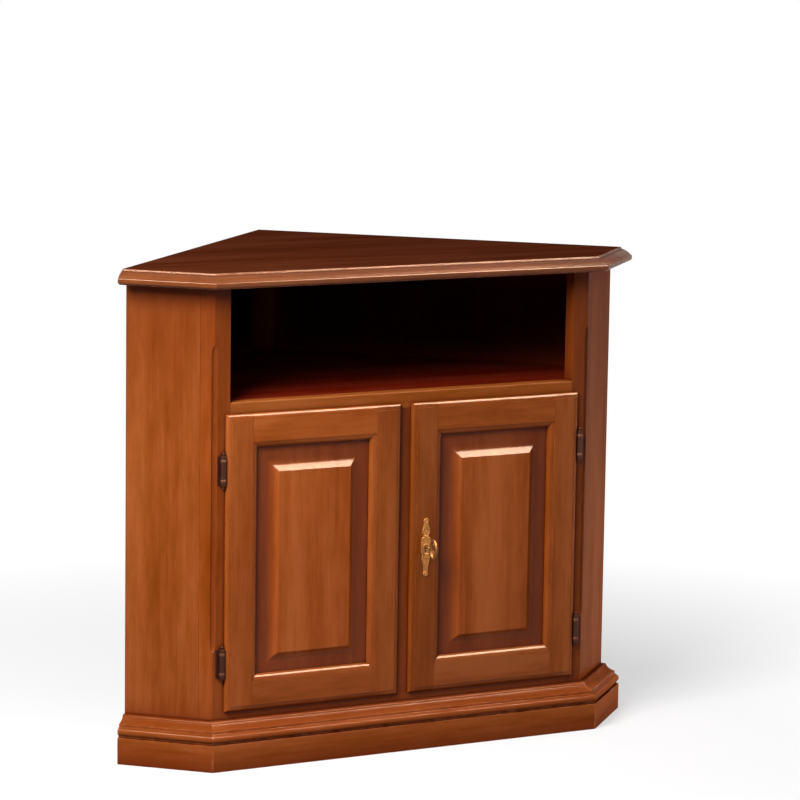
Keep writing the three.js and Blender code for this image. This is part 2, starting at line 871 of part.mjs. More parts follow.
// Bolt with a tail that the bit of the key drives
function lockBolt() {
  const tip = slideGap - caseLeft;
  const talon = boltTail - boltTalonWidth;
  const outline = [
    [tip, boltBottom + boltNose],
    [tip + boltNose, boltBottom],
    [talon - boltNose, boltBottom],
    [talon, boltBottom - boltNose],
    [talon, -boltTalonDrop],
    [boltTail, -boltTalonDrop],
    [boltTail, boltTop],
    [tip + boltNose, boltTop],
    [tip, boltTop - boltNose],
  ].map(([x, z]) => new THREE.Vector2(x, z));
  return frontPrism(outline, boltFront, boltFront + boltThickness);
}

// Key with an oval openwork bow that stands upright, square to the door
function doorKey() {
  const end = caseBack - caseWall - slideGap;
  const bowCentre = bowFront + bowDepth;
  const bowEnd = bowFront + 2 * bowDepth;
  const neck = bowEnd - bowRim / 2;
  const collar = bowEnd + keyCollarLength;
  const shaft = turned([
    [0, -end],
    [keyShaftRadius - bowBevel, -end],
    [keyShaftRadius, bowBevel - end],
    [keyShaftRadius, -collar - keyCollarLength / 2],
    [keyCollarRadius, -collar],
    [keyCollarRadius, -bowEnd - keyCollarLength / 2],
    [keyShaftRadius, -bowEnd],
    [keyShaftRadius, -neck],
    [0, -neck],
  ], 16).rotateX(Math.PI / 2);
  const ellipse = (path, inset) => (
    path.absellipse(0, 0, bowDepth - inset, bowHeight - inset, 0, 2 * Math.PI, false, 0)
  );
  const oval = ellipse(new THREE.Shape(), bowBevel);
  oval.holes.push(ellipse(new THREE.Path(), bowRim - bowBevel));
  const settings = {
    depth: bowThickness,
    bevelThickness: bowBevel,
    bevelSize: bowBevel,
    bevelSegments: 2,
    curveSegments: 14,
  };
  const bow = new THREE.ExtrudeGeometry(oval, settings)
    .translate(0, 0, -bowThickness / 2)
    .rotateX(Math.PI / 2)
    .rotateZ(Math.PI / 2)
    .translate(0, bowCentre, 0);
  const half = bitThickness / 2;
  const bitBack = boltFront + (boltThickness + bitLength) / 2;
  const bit = box(-half, half, bitBack - bitLength, bitBack, -bitReach, 0);
  return join(shaft, bow, bit);
}

function magnetCatch() {
  const { width, depth, height } = catchSize;
  const front = doorTenonDepth + gap + catchPlate.thickness + gap;
  const right = -stileHalf - gap;
  const z = catchHeight - height / 2;
  return box(right - width, right, front, front + depth, z, z + height);
}

// Assembly
const cabinet = new THREE.Group();
const carcass = new THREE.Group();

function addPair(name, geometry, material) {
  addPart(carcass, `${name}_right`, geometry, material);
  addPart(carcass, `${name}_left`, mirrored(geometry), material);
}

addPart(carcass, 'top_board', topBoard(), materials.top);
addPair('side_panel', sidePanel(), materials.carcass);
addPair('corner_post', cornerPost(), materials.carcass);
addPair('back_panel', backPanel(), materials.inside);
addPart(carcass, 'rear_post', rearPost(), materials.inside);
addPart(carcass, 'shelf_lipping', lipping(), materials.carcass);
addPart(carcass, 'middle_shelf', innerBoard(railDepth + gap, shelfTop), materials.inside);
addPart(carcass, 'inner_shelf', innerBoard(innerShelfFront, innerShelfTop), materials.inside);
addPart(carcass, 'bottom_board', innerBoard(railDepth + gap, floorTop), materials.inside);
addPart(
  carcass,
  'bottom_rail',
  box(gap - openingHalf, openingHalf - gap, 0, railDepth, railLift, floorTop),
  materials.carcass,
);
addPart(carcass, 'centre_stile', centreStile(), materials.carcass);
const boardTops = { middle_shelf: shelfTop, inner_shelf: innerShelfTop, bottom_board: floorTop };
addPair('top_batten', batten(carcassTop - gap), materials.inside);
for (const [board, top] of Object.entries(boardTops)) {
  addPair(`${board}_batten`, batten(top - shelfThickness - gap), materials.inside);
}
addPart(carcass, 'plinth_front', frontBar(plinthProfile), materials.base);
addPair('plinth', sideBar(plinthProfile), materials.base);
addPart(carcass, 'base_moulding_front', frontBar(mouldingProfile()), materials.base);
addPair('base_moulding', sideBar(mouldingProfile()), materials.base);
addPair('corner_block', cornerBlock(), materials.inside);
addPart(carcass, 'strike_plate', strikePlate(), materials.brass);
addPart(carcass, 'magnet_catch', magnetCatch(), materials.steel);

const members = doorMembers();
const lockPlace = [doorWidth - keyInset, 0, keyHeight - doorBottom];
const keyholeCut = keyhole(doorFace - overrun, doorTenonDepth + overrun).translate(...lockPlace);

for (const side of [-1, 1]) {
  const hand = side < 0 ? 'left' : 'right';
  const forHand = side < 0 ? (geometry) => geometry : mirrored;
  const door = new THREE.Group();
  door.position.set(side * doorOuter, 0, doorBottom);
  const meeting = side < 0 ? members.meetingStile : cut(members.meetingStile, keyholeCut);
  addPart(door, `${hand}_door_hinge_stile`, forHand(members.hingeStile), materials.door);
  addPart(door, `${hand}_door_meeting_stile`, forHand(meeting), materials.door);
  addPart(door, `${hand}_door_top_rail`, forHand(members.topRail), materials.door);
  addPart(door, `${hand}_door_bottom_rail`, forHand(members.bottomRail), materials.door);
  addPart(door, `${hand}_door_panel`, forHand(raisedPanel()), materials.panel);
  for (const [i, height] of hingeHeights.entries()) {
    const level = i === 0 ? 'lower' : 'upper';
    const onDoor = [side * hingeStandOff, -hingeStandOff, height];
    const onFrame = [side * (doorOuter + hingeStandOff), -hingeStandOff, doorBottom + height];
    addPart(door, `${hand}_${level}_door_leaf`, forHand(doorLeaf()), materials.bronze, onDoor);
    addPart(carcass, `${hand}_${level}_frame_leaf`, forHand(frameLeaf()), materials.bronze, onFrame);
    addPart(carcass, `${hand}_${level}_hinge_pin`, hingePin(), materials.bronze, onFrame);
  }
  if (side < 0) {
    const { width, height, thickness, inset } = catchPlate;
    const x = doorWidth - inset - width;
    const z = catchHeight - doorBottom - height / 2;
    const front = doorTenonDepth + gap;
    const plate = box(x, x + width, front, front + thickness, z, z + height);
    addPart(door, 'catch_plate', plate, materials.steel);
  }
  cabinet.add(door);
}

const lock = new THREE.Group();
lock.position.set(keyX, 0, keyHeight);
addPart(lock, 'escutcheon', escutcheon(), materials.brass);
addPart(lock, 'lock_case', lockCase(), materials.steel);
addPart(lock, 'lock_bolt', lockBolt(), materials.brass);
addPart(lock, 'key', doorKey(), materials.brass);

// The origin lies on the floor, in the middle of the whole object's width and depth
cabinet.add(carcass, lock);
cabinet.position.y = -(sidePoint(sideWidth, wallLength).y + bowFront) / 2;
cabinet.updateMatrixWorld(true);

export default cabinet;
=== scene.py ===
"""Finishes, fittings and studio for a wooden corner cabinet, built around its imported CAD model."""

import math

import bmesh
import bpy
from bpy.props import FloatProperty, FloatVectorProperty, PointerProperty
from mathutils import Matrix, Vector


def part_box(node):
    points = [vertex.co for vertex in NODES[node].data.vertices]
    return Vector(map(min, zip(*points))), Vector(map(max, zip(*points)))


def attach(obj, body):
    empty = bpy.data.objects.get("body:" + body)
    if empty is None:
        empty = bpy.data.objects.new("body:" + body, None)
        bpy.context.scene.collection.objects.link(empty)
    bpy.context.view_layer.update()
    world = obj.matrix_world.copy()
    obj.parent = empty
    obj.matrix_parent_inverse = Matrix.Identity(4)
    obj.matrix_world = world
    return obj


bl_info = {
    "name": "Corner Cabinet Finish",
    "version": (1, 0, 0),
    "blender": (4, 5, 0),
    "location": "3D View > Sidebar > Cabinet",
    "description": "Wood finishes, metal fittings and a studio for a corner cabinet",
    "category": "Object",
}

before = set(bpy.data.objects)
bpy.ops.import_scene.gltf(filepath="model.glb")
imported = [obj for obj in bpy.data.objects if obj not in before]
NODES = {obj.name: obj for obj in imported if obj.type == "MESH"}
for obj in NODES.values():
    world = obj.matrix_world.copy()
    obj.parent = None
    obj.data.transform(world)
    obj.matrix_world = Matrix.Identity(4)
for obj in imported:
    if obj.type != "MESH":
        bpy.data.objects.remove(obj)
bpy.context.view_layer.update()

MM = 0.001
SIDES = ("left", "right")
LEVELS = ("lower", "upper")
DIAGONAL = math.sqrt(0.5)
SMOOTH_ANGLE = math.radians(32)
LACQUER_ROUGHNESS = 0.14
WINDOW_TINT = (1, 0.83, 0.6)

# Strength and colour of the stain and painted shade in hollows and in recesses,
# and of the painted shade under the top
HOLLOW_STAIN_AND_SHADE = (0.85, (0.03, 0.004, 0.001))
RECESS_STAIN_AND_SHADE = (0.6, (0.1, 0.012, 0.003))
UNDER_TOP_SHADE = (0.5, (0.09, 0.012, 0.003))

# Colour of the painted shade in sheltered corners, and width of a hollow that holds stain and
# painted shade
SHELTER_SHADE_COLOUR = (0.12, 0.014, 0.003)
HOLLOW_REACH = 9 * MM

# Width over which an edge is rubbed and lightened as a painted highlight,
# and how many times lighter it gets there
PLAIN_WEAR_AND_HIGHLIGHT = (1.6 * MM, 1.7)
POLISHED_WEAR_AND_HIGHLIGHT = (3.2 * MM, 2.4)
RUB_AND_HIGHLIGHT = 0.7

# Each board is cut from another place in the figure, and has a tone of its own
BOARD_SHIFT = (0.731, 0.417, 1.173)
BOARD_TONE = 0.618
RING_DENSITY = 46.0
LIGHT_GRAIN = 1.28

# Turns that bring the length of a board onto Z, where the grain of the materials runs
UPRIGHT = (0.0, 0.0, 0.0)
ALONG_FRONT = (0.0, math.pi / 2, 0.0)
ALONG_RIGHT = (math.pi / 2, -math.pi / 4, 0.0)
ALONG_LEFT = (math.pi / 2, math.pi / 4, 0.0)


def colour(name, text, default):
    """A colour property, written in linear light."""
    return FloatVectorProperty(
        name=name, description=text, default=default, subtype="COLOR", size=3, min=0.0, max=1.0
    )


def length(name, text, default):
    """A length property in metres."""
    return FloatProperty(name=name, description=text, default=default, unit="LENGTH", min=0.0)


def share(name, text, default):
    """A property between none and all."""
    return FloatProperty(
        name=name, description=text, default=default, subtype="FACTOR", min=0.0, max=1.0
    )


class CabinetWood(bpy.types.PropertyGroup):
    """Colours and character of the wood, with painted shade for the face of the top and the niche.
    """

    # The top colour is painted shade: the face of the top board is darker than its edge, as where
    # little light falls
    top: colour("Top", "Colour of the face of the top board", (0.08, 0.0175, 0.0065))
    edge: colour("Edge", "Colour of the moulded edge of the top board", (0.16, 0.037, 0.004))
    sides: colour("Sides", "Colour of the canted sides", (0.24, 0.057, 0.0105))
    posts: colour("Posts", "Colour of the posts and rails", (0.225, 0.047, 0.006))
    doors: colour("Doors", "Colour of the door frames", (0.285, 0.063, 0.0075))
    panels: colour("Panels", "Colour of the raised panels", (0.305, 0.066, 0.008))
    base: colour("Base", "Colour of the plinth and its moulding", (0.285, 0.067, 0.0135))
    inside: colour("Inside", "Colour of the plain boards inside and behind", (0.2, 0.09, 0.04))
    lipping: colour("Lipping", "Colour of the front edge of the shelf", (0.27, 0.07, 0.0115))
    shelf: colour("Shelf", "Colour of the shelf above the doors", (0.15, 0.013, 0.004))
    # The niche colour is painted shade: it makes what faces the niche nearly black, as where no
    # light reaches
    niche: colour("Niche", "Dark stain on what faces the niche", (0.01, 0.0016, 0.001))
    dark: share("Dark grain", "Brightness of the dark grain against the light", 0.74)
    gloss: share("Gloss", "Weight of the lacquer over the wood", 0.22)
    arris: length("Arris", "Width of the softened arrises", 1.2 * MM)


class CabinetMetal(bpy.types.PropertyGroup):
    """Colours of the metal, and sizes of the small fittings."""

    bronze: colour("Bronze", "Colour of the hinges", (0.035, 0.008, 0.003))
    rubbed: colour("Rubbed bronze", "Colour of the rings on the hinges", (0.09, 0.03, 0.016))
    brass: colour("Brass", "Colour of the escutcheon and key", (0.33, 0.14, 0.035))
    tarnish: colour("Tarnish", "Colour in the hollows of the brass", (0.055, 0.016, 0.004))
    worn: colour("Worn brass", "Colour of the bow of the key", (0.17, 0.075, 0.022))
    steel: colour("Steel", "Colour of the lock case and catch", (0.3, 0.29, 0.27))
    screw: length("Screw head", "Diameter of the hinge screws' heads", 3.2 * MM)
    pin: length("Pin head", "Diameter of the panel pins' heads", 2.6 * MM)
    pin_step: length("Pin step", "Distance between panel pins", 110 * MM)
    rib: length("Rib", "Radius of the raised ribs on the escutcheon", 0.75 * MM)


class CabinetStudio(bpy.types.PropertyGroup):
    """Camera, lamps and surroundings."""

    lens: FloatProperty(name="Lens", description="Focal length in millimetres", default=163.6)
    yaw: FloatProperty(
        name="Yaw", description="Turn of the view from the front", default=math.radians(28.07),
        subtype="ANGLE",
    )
    pitch: FloatProperty(
        name="Pitch", description="How far the view looks down", default=math.radians(8.67),
        subtype="ANGLE",
    )
    roll: FloatProperty(
        name="Roll", description="Tilt of the view", default=math.radians(0.87), subtype="ANGLE"
    )
    distance: length("Distance", "From the camera to the point it looks at", 5.9043)
    slip: FloatProperty(
        name="Slip", description="Sideways place of that point", default=-0.0088, unit="LENGTH"
    )
    height: length("Height", "Height of that point", 0.5769)
    face: FloatProperty(
        name="Front", description="Plane of the front from the middle", default=-0.25317,
        unit="LENGTH",
    )
    key: FloatProperty(name="Key", description="Power of the left lamp in watts", default=108.0)
    fill: FloatProperty(name="Fill", description="Power of the right lamp in watts", default=19.0)
    windows: FloatProperty(
        name="Windows", description="Power of the two windows mirrored in the gloss, in watts",
        default=380.0,
    )
    sky: share("Sky", "Light of the room from all sides", 0.2)
    floor: colour("Floor", "Colour of the floor", (0.97, 0.96, 0.98))
    bounce: share("Bounce", "Brightness of the floor as it lights the cabinet", 0.3)


# Shader wiring


class Wires:
    """Adds nodes to one tree and joins them."""

    def __init__(self, tree):
        self.tree = tree

    def put(self, socket, value):
        """Joins a socket to another, or sets its value."""
        if isinstance(value, bpy.types.NodeSocket):
            self.tree.links.new(value, socket)
        elif value is not None:
            socket.default_value = value

    def add(self, kind, inputs=None, **settings):
        """A shader node with its settings, and its inputs joined or set."""
        node = self.tree.nodes.new("ShaderNode" + kind)
        for name, value in settings.items():
            setattr(node, name, value)
        for name, value in (inputs or {}).items():
            self.put(node.inputs[name], value)
        return node

    def math(self, operation, a, b=None, clamp=False):
        node = self.add("Math", {0: a, 1: b}, operation=operation, use_clamp=clamp)
        return node.outputs[0]

    def mix(self, factor, a, b, blend="MIX"):
        node = self.add("Mix", data_type="RGBA", blend_type=blend)
        for index, value in ((0, factor), (6, a), (7, b)):
            self.put(node.inputs[index], value)
        return node.outputs[2]

    def axis(self, vector, name):
        return self.add("SeparateXYZ", {"Vector": vector}).outputs[name]

    def noise(self, vector, scale, detail=2.0, roughness=0.5, distortion=0.0):
        node = self.add("TexNoise", {
            "Vector": vector, "Scale": scale, "Detail": detail, "Roughness": roughness,
            "Distortion": distortion,
        })
        return node.outputs["Fac"]

    def streaks(self, vector, scale, **look):
        """Noise with a scale of its own along each axis."""
        node = self.add("Mapping", {"Vector": vector, "Scale": scale})
        return self.noise(node.outputs["Vector"], 1.0, **look)

    def ramp(self, value, low, high, to_low=0.0, to_high=1.0):
        node = self.add("MapRange", {
            "Value": value, "From Min": low, "From Max": high, "To Min": to_low, "To Max": to_high,
        })
        return node.outputs["Result"]


def node_group(name, inputs, outputs):
    """A new shader group with named sockets, and its wires, input and output nodes."""
    tree = bpy.data.node_groups.new(name, "ShaderNodeTree")
    for direction, sockets in (("INPUT", inputs), ("OUTPUT", outputs)):
        for socket, (kind, default) in sockets.items():
            item = tree.interface.new_socket(
                socket, in_out=direction, socket_type="NodeSocket" + kind
            )
            if default is not None:
                item.default_value = default
    given, made = tree.nodes.new("NodeGroupInput"), tree.nodes.new("NodeGroupOutput")
    return tree, Wires(tree), given, made


def grain_group():
    """Streaks, figure and pores of wood whose grain runs along Z of the given vector."""
    tree, wires, given, made = node_group(
        "Wood Grain",
        {
            "Vector": ("Vector", None), "Board": ("Float", 0.0), "Light": ("Color", None),
            "Dark": ("Float", 0.6), "Figure": ("Float", 0.5), "Roughness": ("Float", 0.4),
        },
        {"Color": ("Color", None), "Roughness": ("Float", None), "Height": ("Float", None)},
    )
    get = given.outputs
    shift = wires.add("CombineXYZ", {
        axis: wires.math("MULTIPLY", get["Board"], step) for axis, step in zip("XYZ", BOARD_SHIFT)
    })
    moved = wires.add("VectorMath", {0: get["Vector"], 1: shift.outputs[0]}, operation="ADD")
    place = moved.outputs[0]
    cloud = wires.streaks(place, (19, 19, 1.7), detail=3.0, roughness=0.55)
    figure = wires.streaks(place, (11, 11, 0.75), detail=3.0, distortion=0.35)
    rings = wires.math("SINE", wires.math("MULTIPLY", figure, RING_DENSITY))
    streak = wires.streaks(place, (210, 210, 3.2), detail=4.0, roughness=0.62)
    mottle = wires.streaks(place, (75, 75, 15), detail=3.0, roughness=0.6)
    fibre = wires.streaks(place, (900, 900, 16), roughness=0.6)
    pore = wires.ramp(wires.streaks(place, (1300, 1300, 60), detail=1.0), 0.6, 0.72)
    tone = wires.math("FRACT", wires.math("MULTIPLY", get["Board"], BOARD_TONE))
    parts = (
        wires.ramp(cloud, 0.3, 0.7, -0.42, 0.42),
        wires.math("MULTIPLY", rings, wires.math("MULTIPLY", get["Figure"], 0.12)),
        wires.ramp(streak, 0.25, 0.75, -0.14, 0.14),
        wires.ramp(fibre, 0.3, 0.7, -0.12, 0.12),
        wires.ramp(mottle, 0.3, 0.7, -0.2, 0.2),
        wires.ramp(tone, 0.0, 1.0, 0.42, 0.68),
    )
    total = parts[0]
    for part in parts[1:]:
        total = wires.math("ADD", total, part)
    total = wires.math("ADD", total, 0.0, clamp=True)
    contrast = wires.math("SUBTRACT", LIGHT_GRAIN, get["Dark"])
    level = wires.math("ADD", wires.math("MULTIPLY", total, contrast), get["Dark"])
    level = wires.math("MULTIPLY", level, wires.ramp(pore, 0.0, 1.0, 1.0, 0.88))
    warm = wires.add("HueSaturation", {
        "Hue": wires.ramp(cloud, 0.3, 0.7, 0.497, 0.502),
        "Saturation": wires.ramp(total, 0.0, 1.0, 1.03, 0.98),
        "Value": level, "Color": get["Light"],
    })
    wires.put(made.inputs["Color"], warm.outputs[0])
    rough = wires.math("ADD", get["Roughness"], wires.ramp(cloud, 0.3, 0.7, -0.04, 0.05))
    rough = wires.math("ADD", rough, wires.math("MULTIPLY", pore, 0.1))
    wires.put(made.inputs["Roughness"], rough)
    height = wires.math("SUBTRACT", wires.math("MULTIPLY", streak, 0.5), pore)
    wires.put(made.inputs["Height"], height)
    return tree


def wear_group():
    """Masks of rubbed edges, of hollows that hold stain and painted shade, and of sheltered places
    that take painted shade.
    """
    tree, wires, given, made = node_group(
        "Rubbed Edges",
        {
            "Edge": ("Float", 0.001), "Hollow": ("Float", 0.006), "Shelter Shade": ("Float", 0.04),
            "Vector": ("Vector", None),
        },
        {"Edge": ("Float", None), "Hollow": ("Float", None), "Shelter Shade": ("Float", None)},
    )
    get = given.outputs
    soft = wires.add("Bevel", {"Radius": get["Edge"]}, samples=4)
    flat = wires.add("NewGeometry")
    turn = wires.add(
        "VectorMath", {0: soft.outputs[0], 1: flat.outputs["Normal"]}, operation="DOT_PRODUCT"
    )
    breaks = wires.noise(get["Vector"], 60.0, detail=3.0, roughness=0.6)
    edge = wires.ramp(turn.outputs["Value"], 0.995, 0.86)
    wires.put(made.inputs["Edge"], wires.math("MULTIPLY", edge, wires.ramp(breaks, 0.35, 0.65)))
    shade = wires.add("AmbientOcclusion", {"Distance": get["Hollow"]}, samples=4)
    wires.put(made.inputs["Hollow"], wires.ramp(shade.outputs["AO"], 0.72, 0.36))
    broad = wires.add("AmbientOcclusion", {"Distance": get["Shelter Shade"]}, samples=6)
    wires.put(made.inputs["Shelter Shade"], wires.ramp(broad.outputs["AO"], 1.0, 0.5))
    return tree


def patina_group():
    """Two metal colours mixed by a cloudy patina, its hollows and its rubbed edges."""
    tree, wires, given, made = node_group(
        "Patina",
        {
            "Vector": ("Vector", None), "Metal": ("Color", None), "Tarnish": ("Color", None),
            "Rubbed": ("Color", None), "Edge": ("Float", 0.0), "Hollow": ("Float", 0.0),
            "Cover": ("Float", 0.3), "Roughness": ("Float", 0.35),
        },
        {"Color": ("Color", None), "Roughness": ("Float", None), "Height": ("Float", None)},
    )
    get = given.outputs
    cloud = wires.noise(get["Vector"], 260.0, detail=4.0, roughness=0.6)
    speck = wires.noise(get["Vector"], 1500.0)
    cover = wires.math("ADD", wires.math("MULTIPLY", wires.ramp(cloud, 0.4, 0.7), get["Cover"]),
                       get["Hollow"], clamp=True)
    base = wires.mix(cover, get["Metal"], get["Tarnish"])
    wires.put(made.inputs["Color"], wires.mix(get["Edge"], base, get["Rubbed"]))
    rough = wires.math("ADD", get["Roughness"], wires.math("MULTIPLY", cover, 0.25))
    grit = wires.ramp(speck, 0.3, 0.7, -0.05, 0.05)
    wires.put(made.inputs["Roughness"], wires.math("ADD", rough, grit))
    wires.put(made.inputs["Height"], wires.math("ADD", cloud, wires.math("MULTIPLY", speck, 0.4)))
    return tree


GROUPS = {"Wood Grain": grain_group, "Rubbed Edges": wear_group, "Patina": patina_group}


def shared_group(name):
    """A shader group, made when it is first asked for."""
    return bpy.data.node_groups.get(name) or GROUPS[name]()


def start_material(name):
    """A material with its shader, wires and place vector."""
    material = bpy.data.materials.new(name)
    material.use_nodes = True
    wires = Wires(material.node_tree)
    shader = material.node_tree.nodes["Principled BSDF"]
    place = wires.add("TexCoord").outputs["Object"]
    return material, wires, shader, place


def use_group(wires, name, inputs):
    """The outputs of a shared group in one tree, with its inputs set or joined."""
    node = wires.add("Group", node_tree=shared_group(name))
    for socket, value in inputs.items():
        wires.put(node.inputs[socket], value)
    return node.outputs


def opaque(values):
    """A colour with full alpha, as colour sockets take it."""
    return (*values, 1.0)


def bump(wires, shader, height, strength, depth):
    """Relief of a height on the shader's normal."""
    node = wires.add("Bump", {"Height": height, "Strength": strength, "Distance": depth})
    wires.put(shader.inputs["Normal"], node.outputs[0])


def wood_material(name, light, turn, figure=0.5, roughness=0.36, gloss=None, shade_colour=None,
                  facing_way=None, above=None, recess=None, top_shade=None, bare=None, shelter_shade=0.75,
                  polish=0.0, haze=LACQUER_ROUGHNESS):
    """Stained, lacquered wood with its grain along the board that turn brings upright.

    shade_colour: colour of painted shade, without lacquer, of faces that point facing_way
    and lie higher than above.
    recess: the two depths along Y between which stain and painted shade darken the wood.
    top_shade: the two heights under the top between which painted shade darkens it.
    bare: faces turned to the back by more than this have no lacquer.
    shelter_shade: how far painted shade darkens sheltered places.
    polish: weight of lacquer on edges, which are then rubbed wider and lighter, with a painted
    highlight.
    haze: roughness of the lacquer.
    """
    wood = bpy.context.scene.cabinet_wood
    material, wires, shader, place = start_material(name)
    along = wires.add("Mapping", {"Vector": place, "Rotation": turn}).outputs[0]
    board = wires.add("ObjectInfo").outputs["Object Index"]
    edge_width, lighter = POLISHED_WEAR_AND_HIGHLIGHT if polish else PLAIN_WEAR_AND_HIGHLIGHT
    wear = use_group(wires, "Rubbed Edges", {
        "Edge": edge_width, "Hollow": HOLLOW_REACH, "Vector": place,
    })
    base = opaque(light)
    coat = wood.gloss if gloss is None else gloss
    # Faces that point facing_way take the painted shade colour, without lacquer
    if shade_colour:
        normal = wires.add("NewGeometry").outputs["True Normal"]
        way = wires.add("VectorMath", {0: normal, 1: facing_way}, operation="DOT_PRODUCT")
        plain = wires.ramp(way.outputs["Value"], 0.9, 0.99)
        if above:
            high = wires.ramp(wires.axis(place, "Z"), above - MM, above)
            plain = wires.math("MULTIPLY", plain, high)
        base = wires.mix(plain, base, opaque(shade_colour))
        coat = wires.ramp(plain, 0.0, 1.0, coat, 0.0)
    if polish:
        coat = wires.math("MAXIMUM", coat, wires.math("MULTIPLY", polish, wear["Edge"]))
    if bare:
        backward = wires.axis(wires.add("NewGeometry").outputs["True Normal"], "Y")
        coat = wires.math("MULTIPLY", coat, wires.ramp(backward, bare, bare - 0.1))
    grain = use_group(wires, "Wood Grain", {
        "Vector": along, "Board": board, "Light": base, "Dark": wood.dark,
        "Figure": figure, "Roughness": roughness,
    })
    # Painted shade in sheltered places, stain and painted shade in hollows, and edge wear lightened
    # as a painted highlight
    layers = [
        (wear["Shelter Shade"], shelter_shade, SHELTER_SHADE_COLOUR),
        (wear["Hollow"], *HOLLOW_STAIN_AND_SHADE),
        (wear["Edge"], RUB_AND_HIGHLIGHT, [min(1, lighter * c) for c in light]),
    ]
    # Stain and painted shade between the two depths of the recess
    if recess:
        layers.append((wires.ramp(wires.axis(place, "Y"), *recess), *RECESS_STAIN_AND_SHADE))
    # Painted shade under the top, between the two heights
    if top_shade:
        layers.append((wires.ramp(wires.axis(place, "Z"), *top_shade), *UNDER_TOP_SHADE))
    stained = grain["Color"]
    for mask, strength, tint in layers:
        stained = wires.mix(wires.math("MULTIPLY", mask, strength), stained, opaque(tint))
    wires.put(shader.inputs["Base Color"], stained)
    wires.put(shader.inputs["Roughness"], grain["Roughness"])
    shader.inputs["Specular IOR Level"].default_value = 0.0
    wires.put(shader.inputs["Coat Weight"], coat)
    shader.inputs["Coat Roughness"].default_value = haze
    bump(wires, shader, grain["Height"], strength=0.06, depth=0.25 * MM)
    return material


def toned(base, tone):
    """A colour made lighter or darker."""
    return [tone * c for c in base]


def metal_material(name, metal, tarnish, rubbed, cover, roughness, shine):
    """Aged metal with a cloudy patina and rubbed edges, dulled where its shine is below one."""
    material, wires, shader, place = start_material(name)
    wear = use_group(wires, "Rubbed Edges", {"Edge": 0.6 * MM, "Hollow": 2 * MM, "Vector": place})
    patina = use_group(wires, "Patina", {
        "Vector": place, "Metal": opaque(metal), "Tarnish": opaque(tarnish),
        "Rubbed": opaque(rubbed), "Edge": wear["Edge"], "Hollow": wear["Hollow"],
        "Cover": cover, "Roughness": roughness,
    })
    wires.put(shader.inputs["Base Color"], patina["Color"])
    wires.put(shader.inputs["Roughness"], patina["Roughness"])
    shader.inputs["Metallic"].default_value = shine
    shader.inputs["Specular IOR Level"].default_value = 0.15
    bump(wires, shader, patina["Height"], strength=0.2, depth=0.15 * MM)
    return material


# Pieces


def smooth_group():
    """Geometry nodes that smooth all but the sharp edges of a welded mesh."""
    name = "Smooth Faces"
    if name in bpy.data.node_groups:
        return bpy.data.node_groups[name]
    tree = bpy.data.node_groups.new(name, "GeometryNodeTree")
    tree.is_modifier = True
    tree.interface.new_socket("Geometry", in_out="INPUT", socket_type="NodeSocketGeometry")
    tree.interface.new_socket("Geometry", in_out="OUTPUT", socket_type="NodeSocketGeometry")
    nodes, links = tree.nodes, tree.links
    given, made = nodes.new("NodeGroupInput"), nodes.new("NodeGroupOutput")
    faces, edges = (nodes.new("GeometryNodeSetShadeSmooth") for _ in range(2))
    edges.domain = "EDGE"
    edges.inputs["Shade Smooth"].default_value = False
    angle = nodes.new("GeometryNodeInputMeshEdgeAngle")
    sharp = nodes.new("FunctionNodeCompare")
    sharp.operation = "GREATER_THAN"
    sharp.inputs["B"].default_value = SMOOTH_ANGLE
    links.new(angle.outputs["Unsigned Angle"], sharp.inputs["A"])
    links.new(sharp.outputs["Result"], edges.inputs["Selection"])
    links.new(given.outputs[0], faces.inputs["Geometry"])
    links.new(faces.outputs[0], edges.inputs["Geometry"])
    links.new(edges.outputs[0], made.inputs[0])
    return tree


def soften(piece, width, segments=2, weld=True):
    """Welds a piece, rounds its arrises and smooths its curves, by modifiers alone."""
    if weld:
        piece.modifiers.new("Weld", "WELD").merge_threshold = 0.005 * MM
        flat = piece.modifiers.new("Merge Flats", "DECIMATE")
        flat.decimate_type = "DISSOLVE"
        flat.angle_limit = math.radians(0.4)
    if width:
        arris = piece.modifiers.new("Arris", "BEVEL")
        arris.width = width
        arris.segments = segments
        arris.limit_method = "ANGLE"
        arris.angle_limit = SMOOTH_ANGLE
        arris.use_clamp_overlap = True
    piece.modifiers.new("Smooth Faces", "NODES").node_group = smooth_group()
    piece.modifiers.new("Flat Faces", "WEIGHTED_NORMAL").keep_sharp = True


def finish_node(name, material, width, segments=2):
    """Gives a CAD node its material and softened arrises."""
    node = NODES[name]
    node.pass_index = sorted(NODES).index(name) + 1
    node.material_slots[0].material = material
    soften(node, width, segments)


def new_piece(name, bm, body, material, width=0.0):
    """A new mesh piece from a finished bmesh, riding on a body."""
    mesh = bpy.data.meshes.new(name)
    bm.to_mesh(mesh)
    bm.free()
    piece = bpy.data.objects.new(name, mesh)
    bpy.context.scene.collection.objects.link(piece)
    mesh.materials.append(material)
    soften(piece, width, weld=False)
    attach(piece, body)
    return piece


def tube_piece(name, paths, radius, body, material):
    """Ribs of round section along smooth paths of (point, share of radius) pairs."""
    curve = bpy.data.curves.new(name, "CURVE")
    curve.dimensions = "3D"
    curve.bevel_depth = radius
    curve.bevel_resolution = 3
    curve.resolution_u = 6
    curve.use_fill_caps = True
    for path in paths:
        spline = curve.splines.new("NURBS")
        spline.points.add(len(path) - 1)
        for point, (place, width) in zip(spline.points, path):
            point.co = (*place, 1.0)
            point.radius = width
        spline.order_u = 3
        spline.use_endpoint_u = True
    piece = bpy.data.objects.new(name, curve)
    bpy.context.scene.collection.objects.link(piece)
    curve.materials.append(material)
    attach(piece, body)
    return piece


def middle(name):
    """Middle of a node's box."""
    low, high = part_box(name)
    return (low + high) / 2


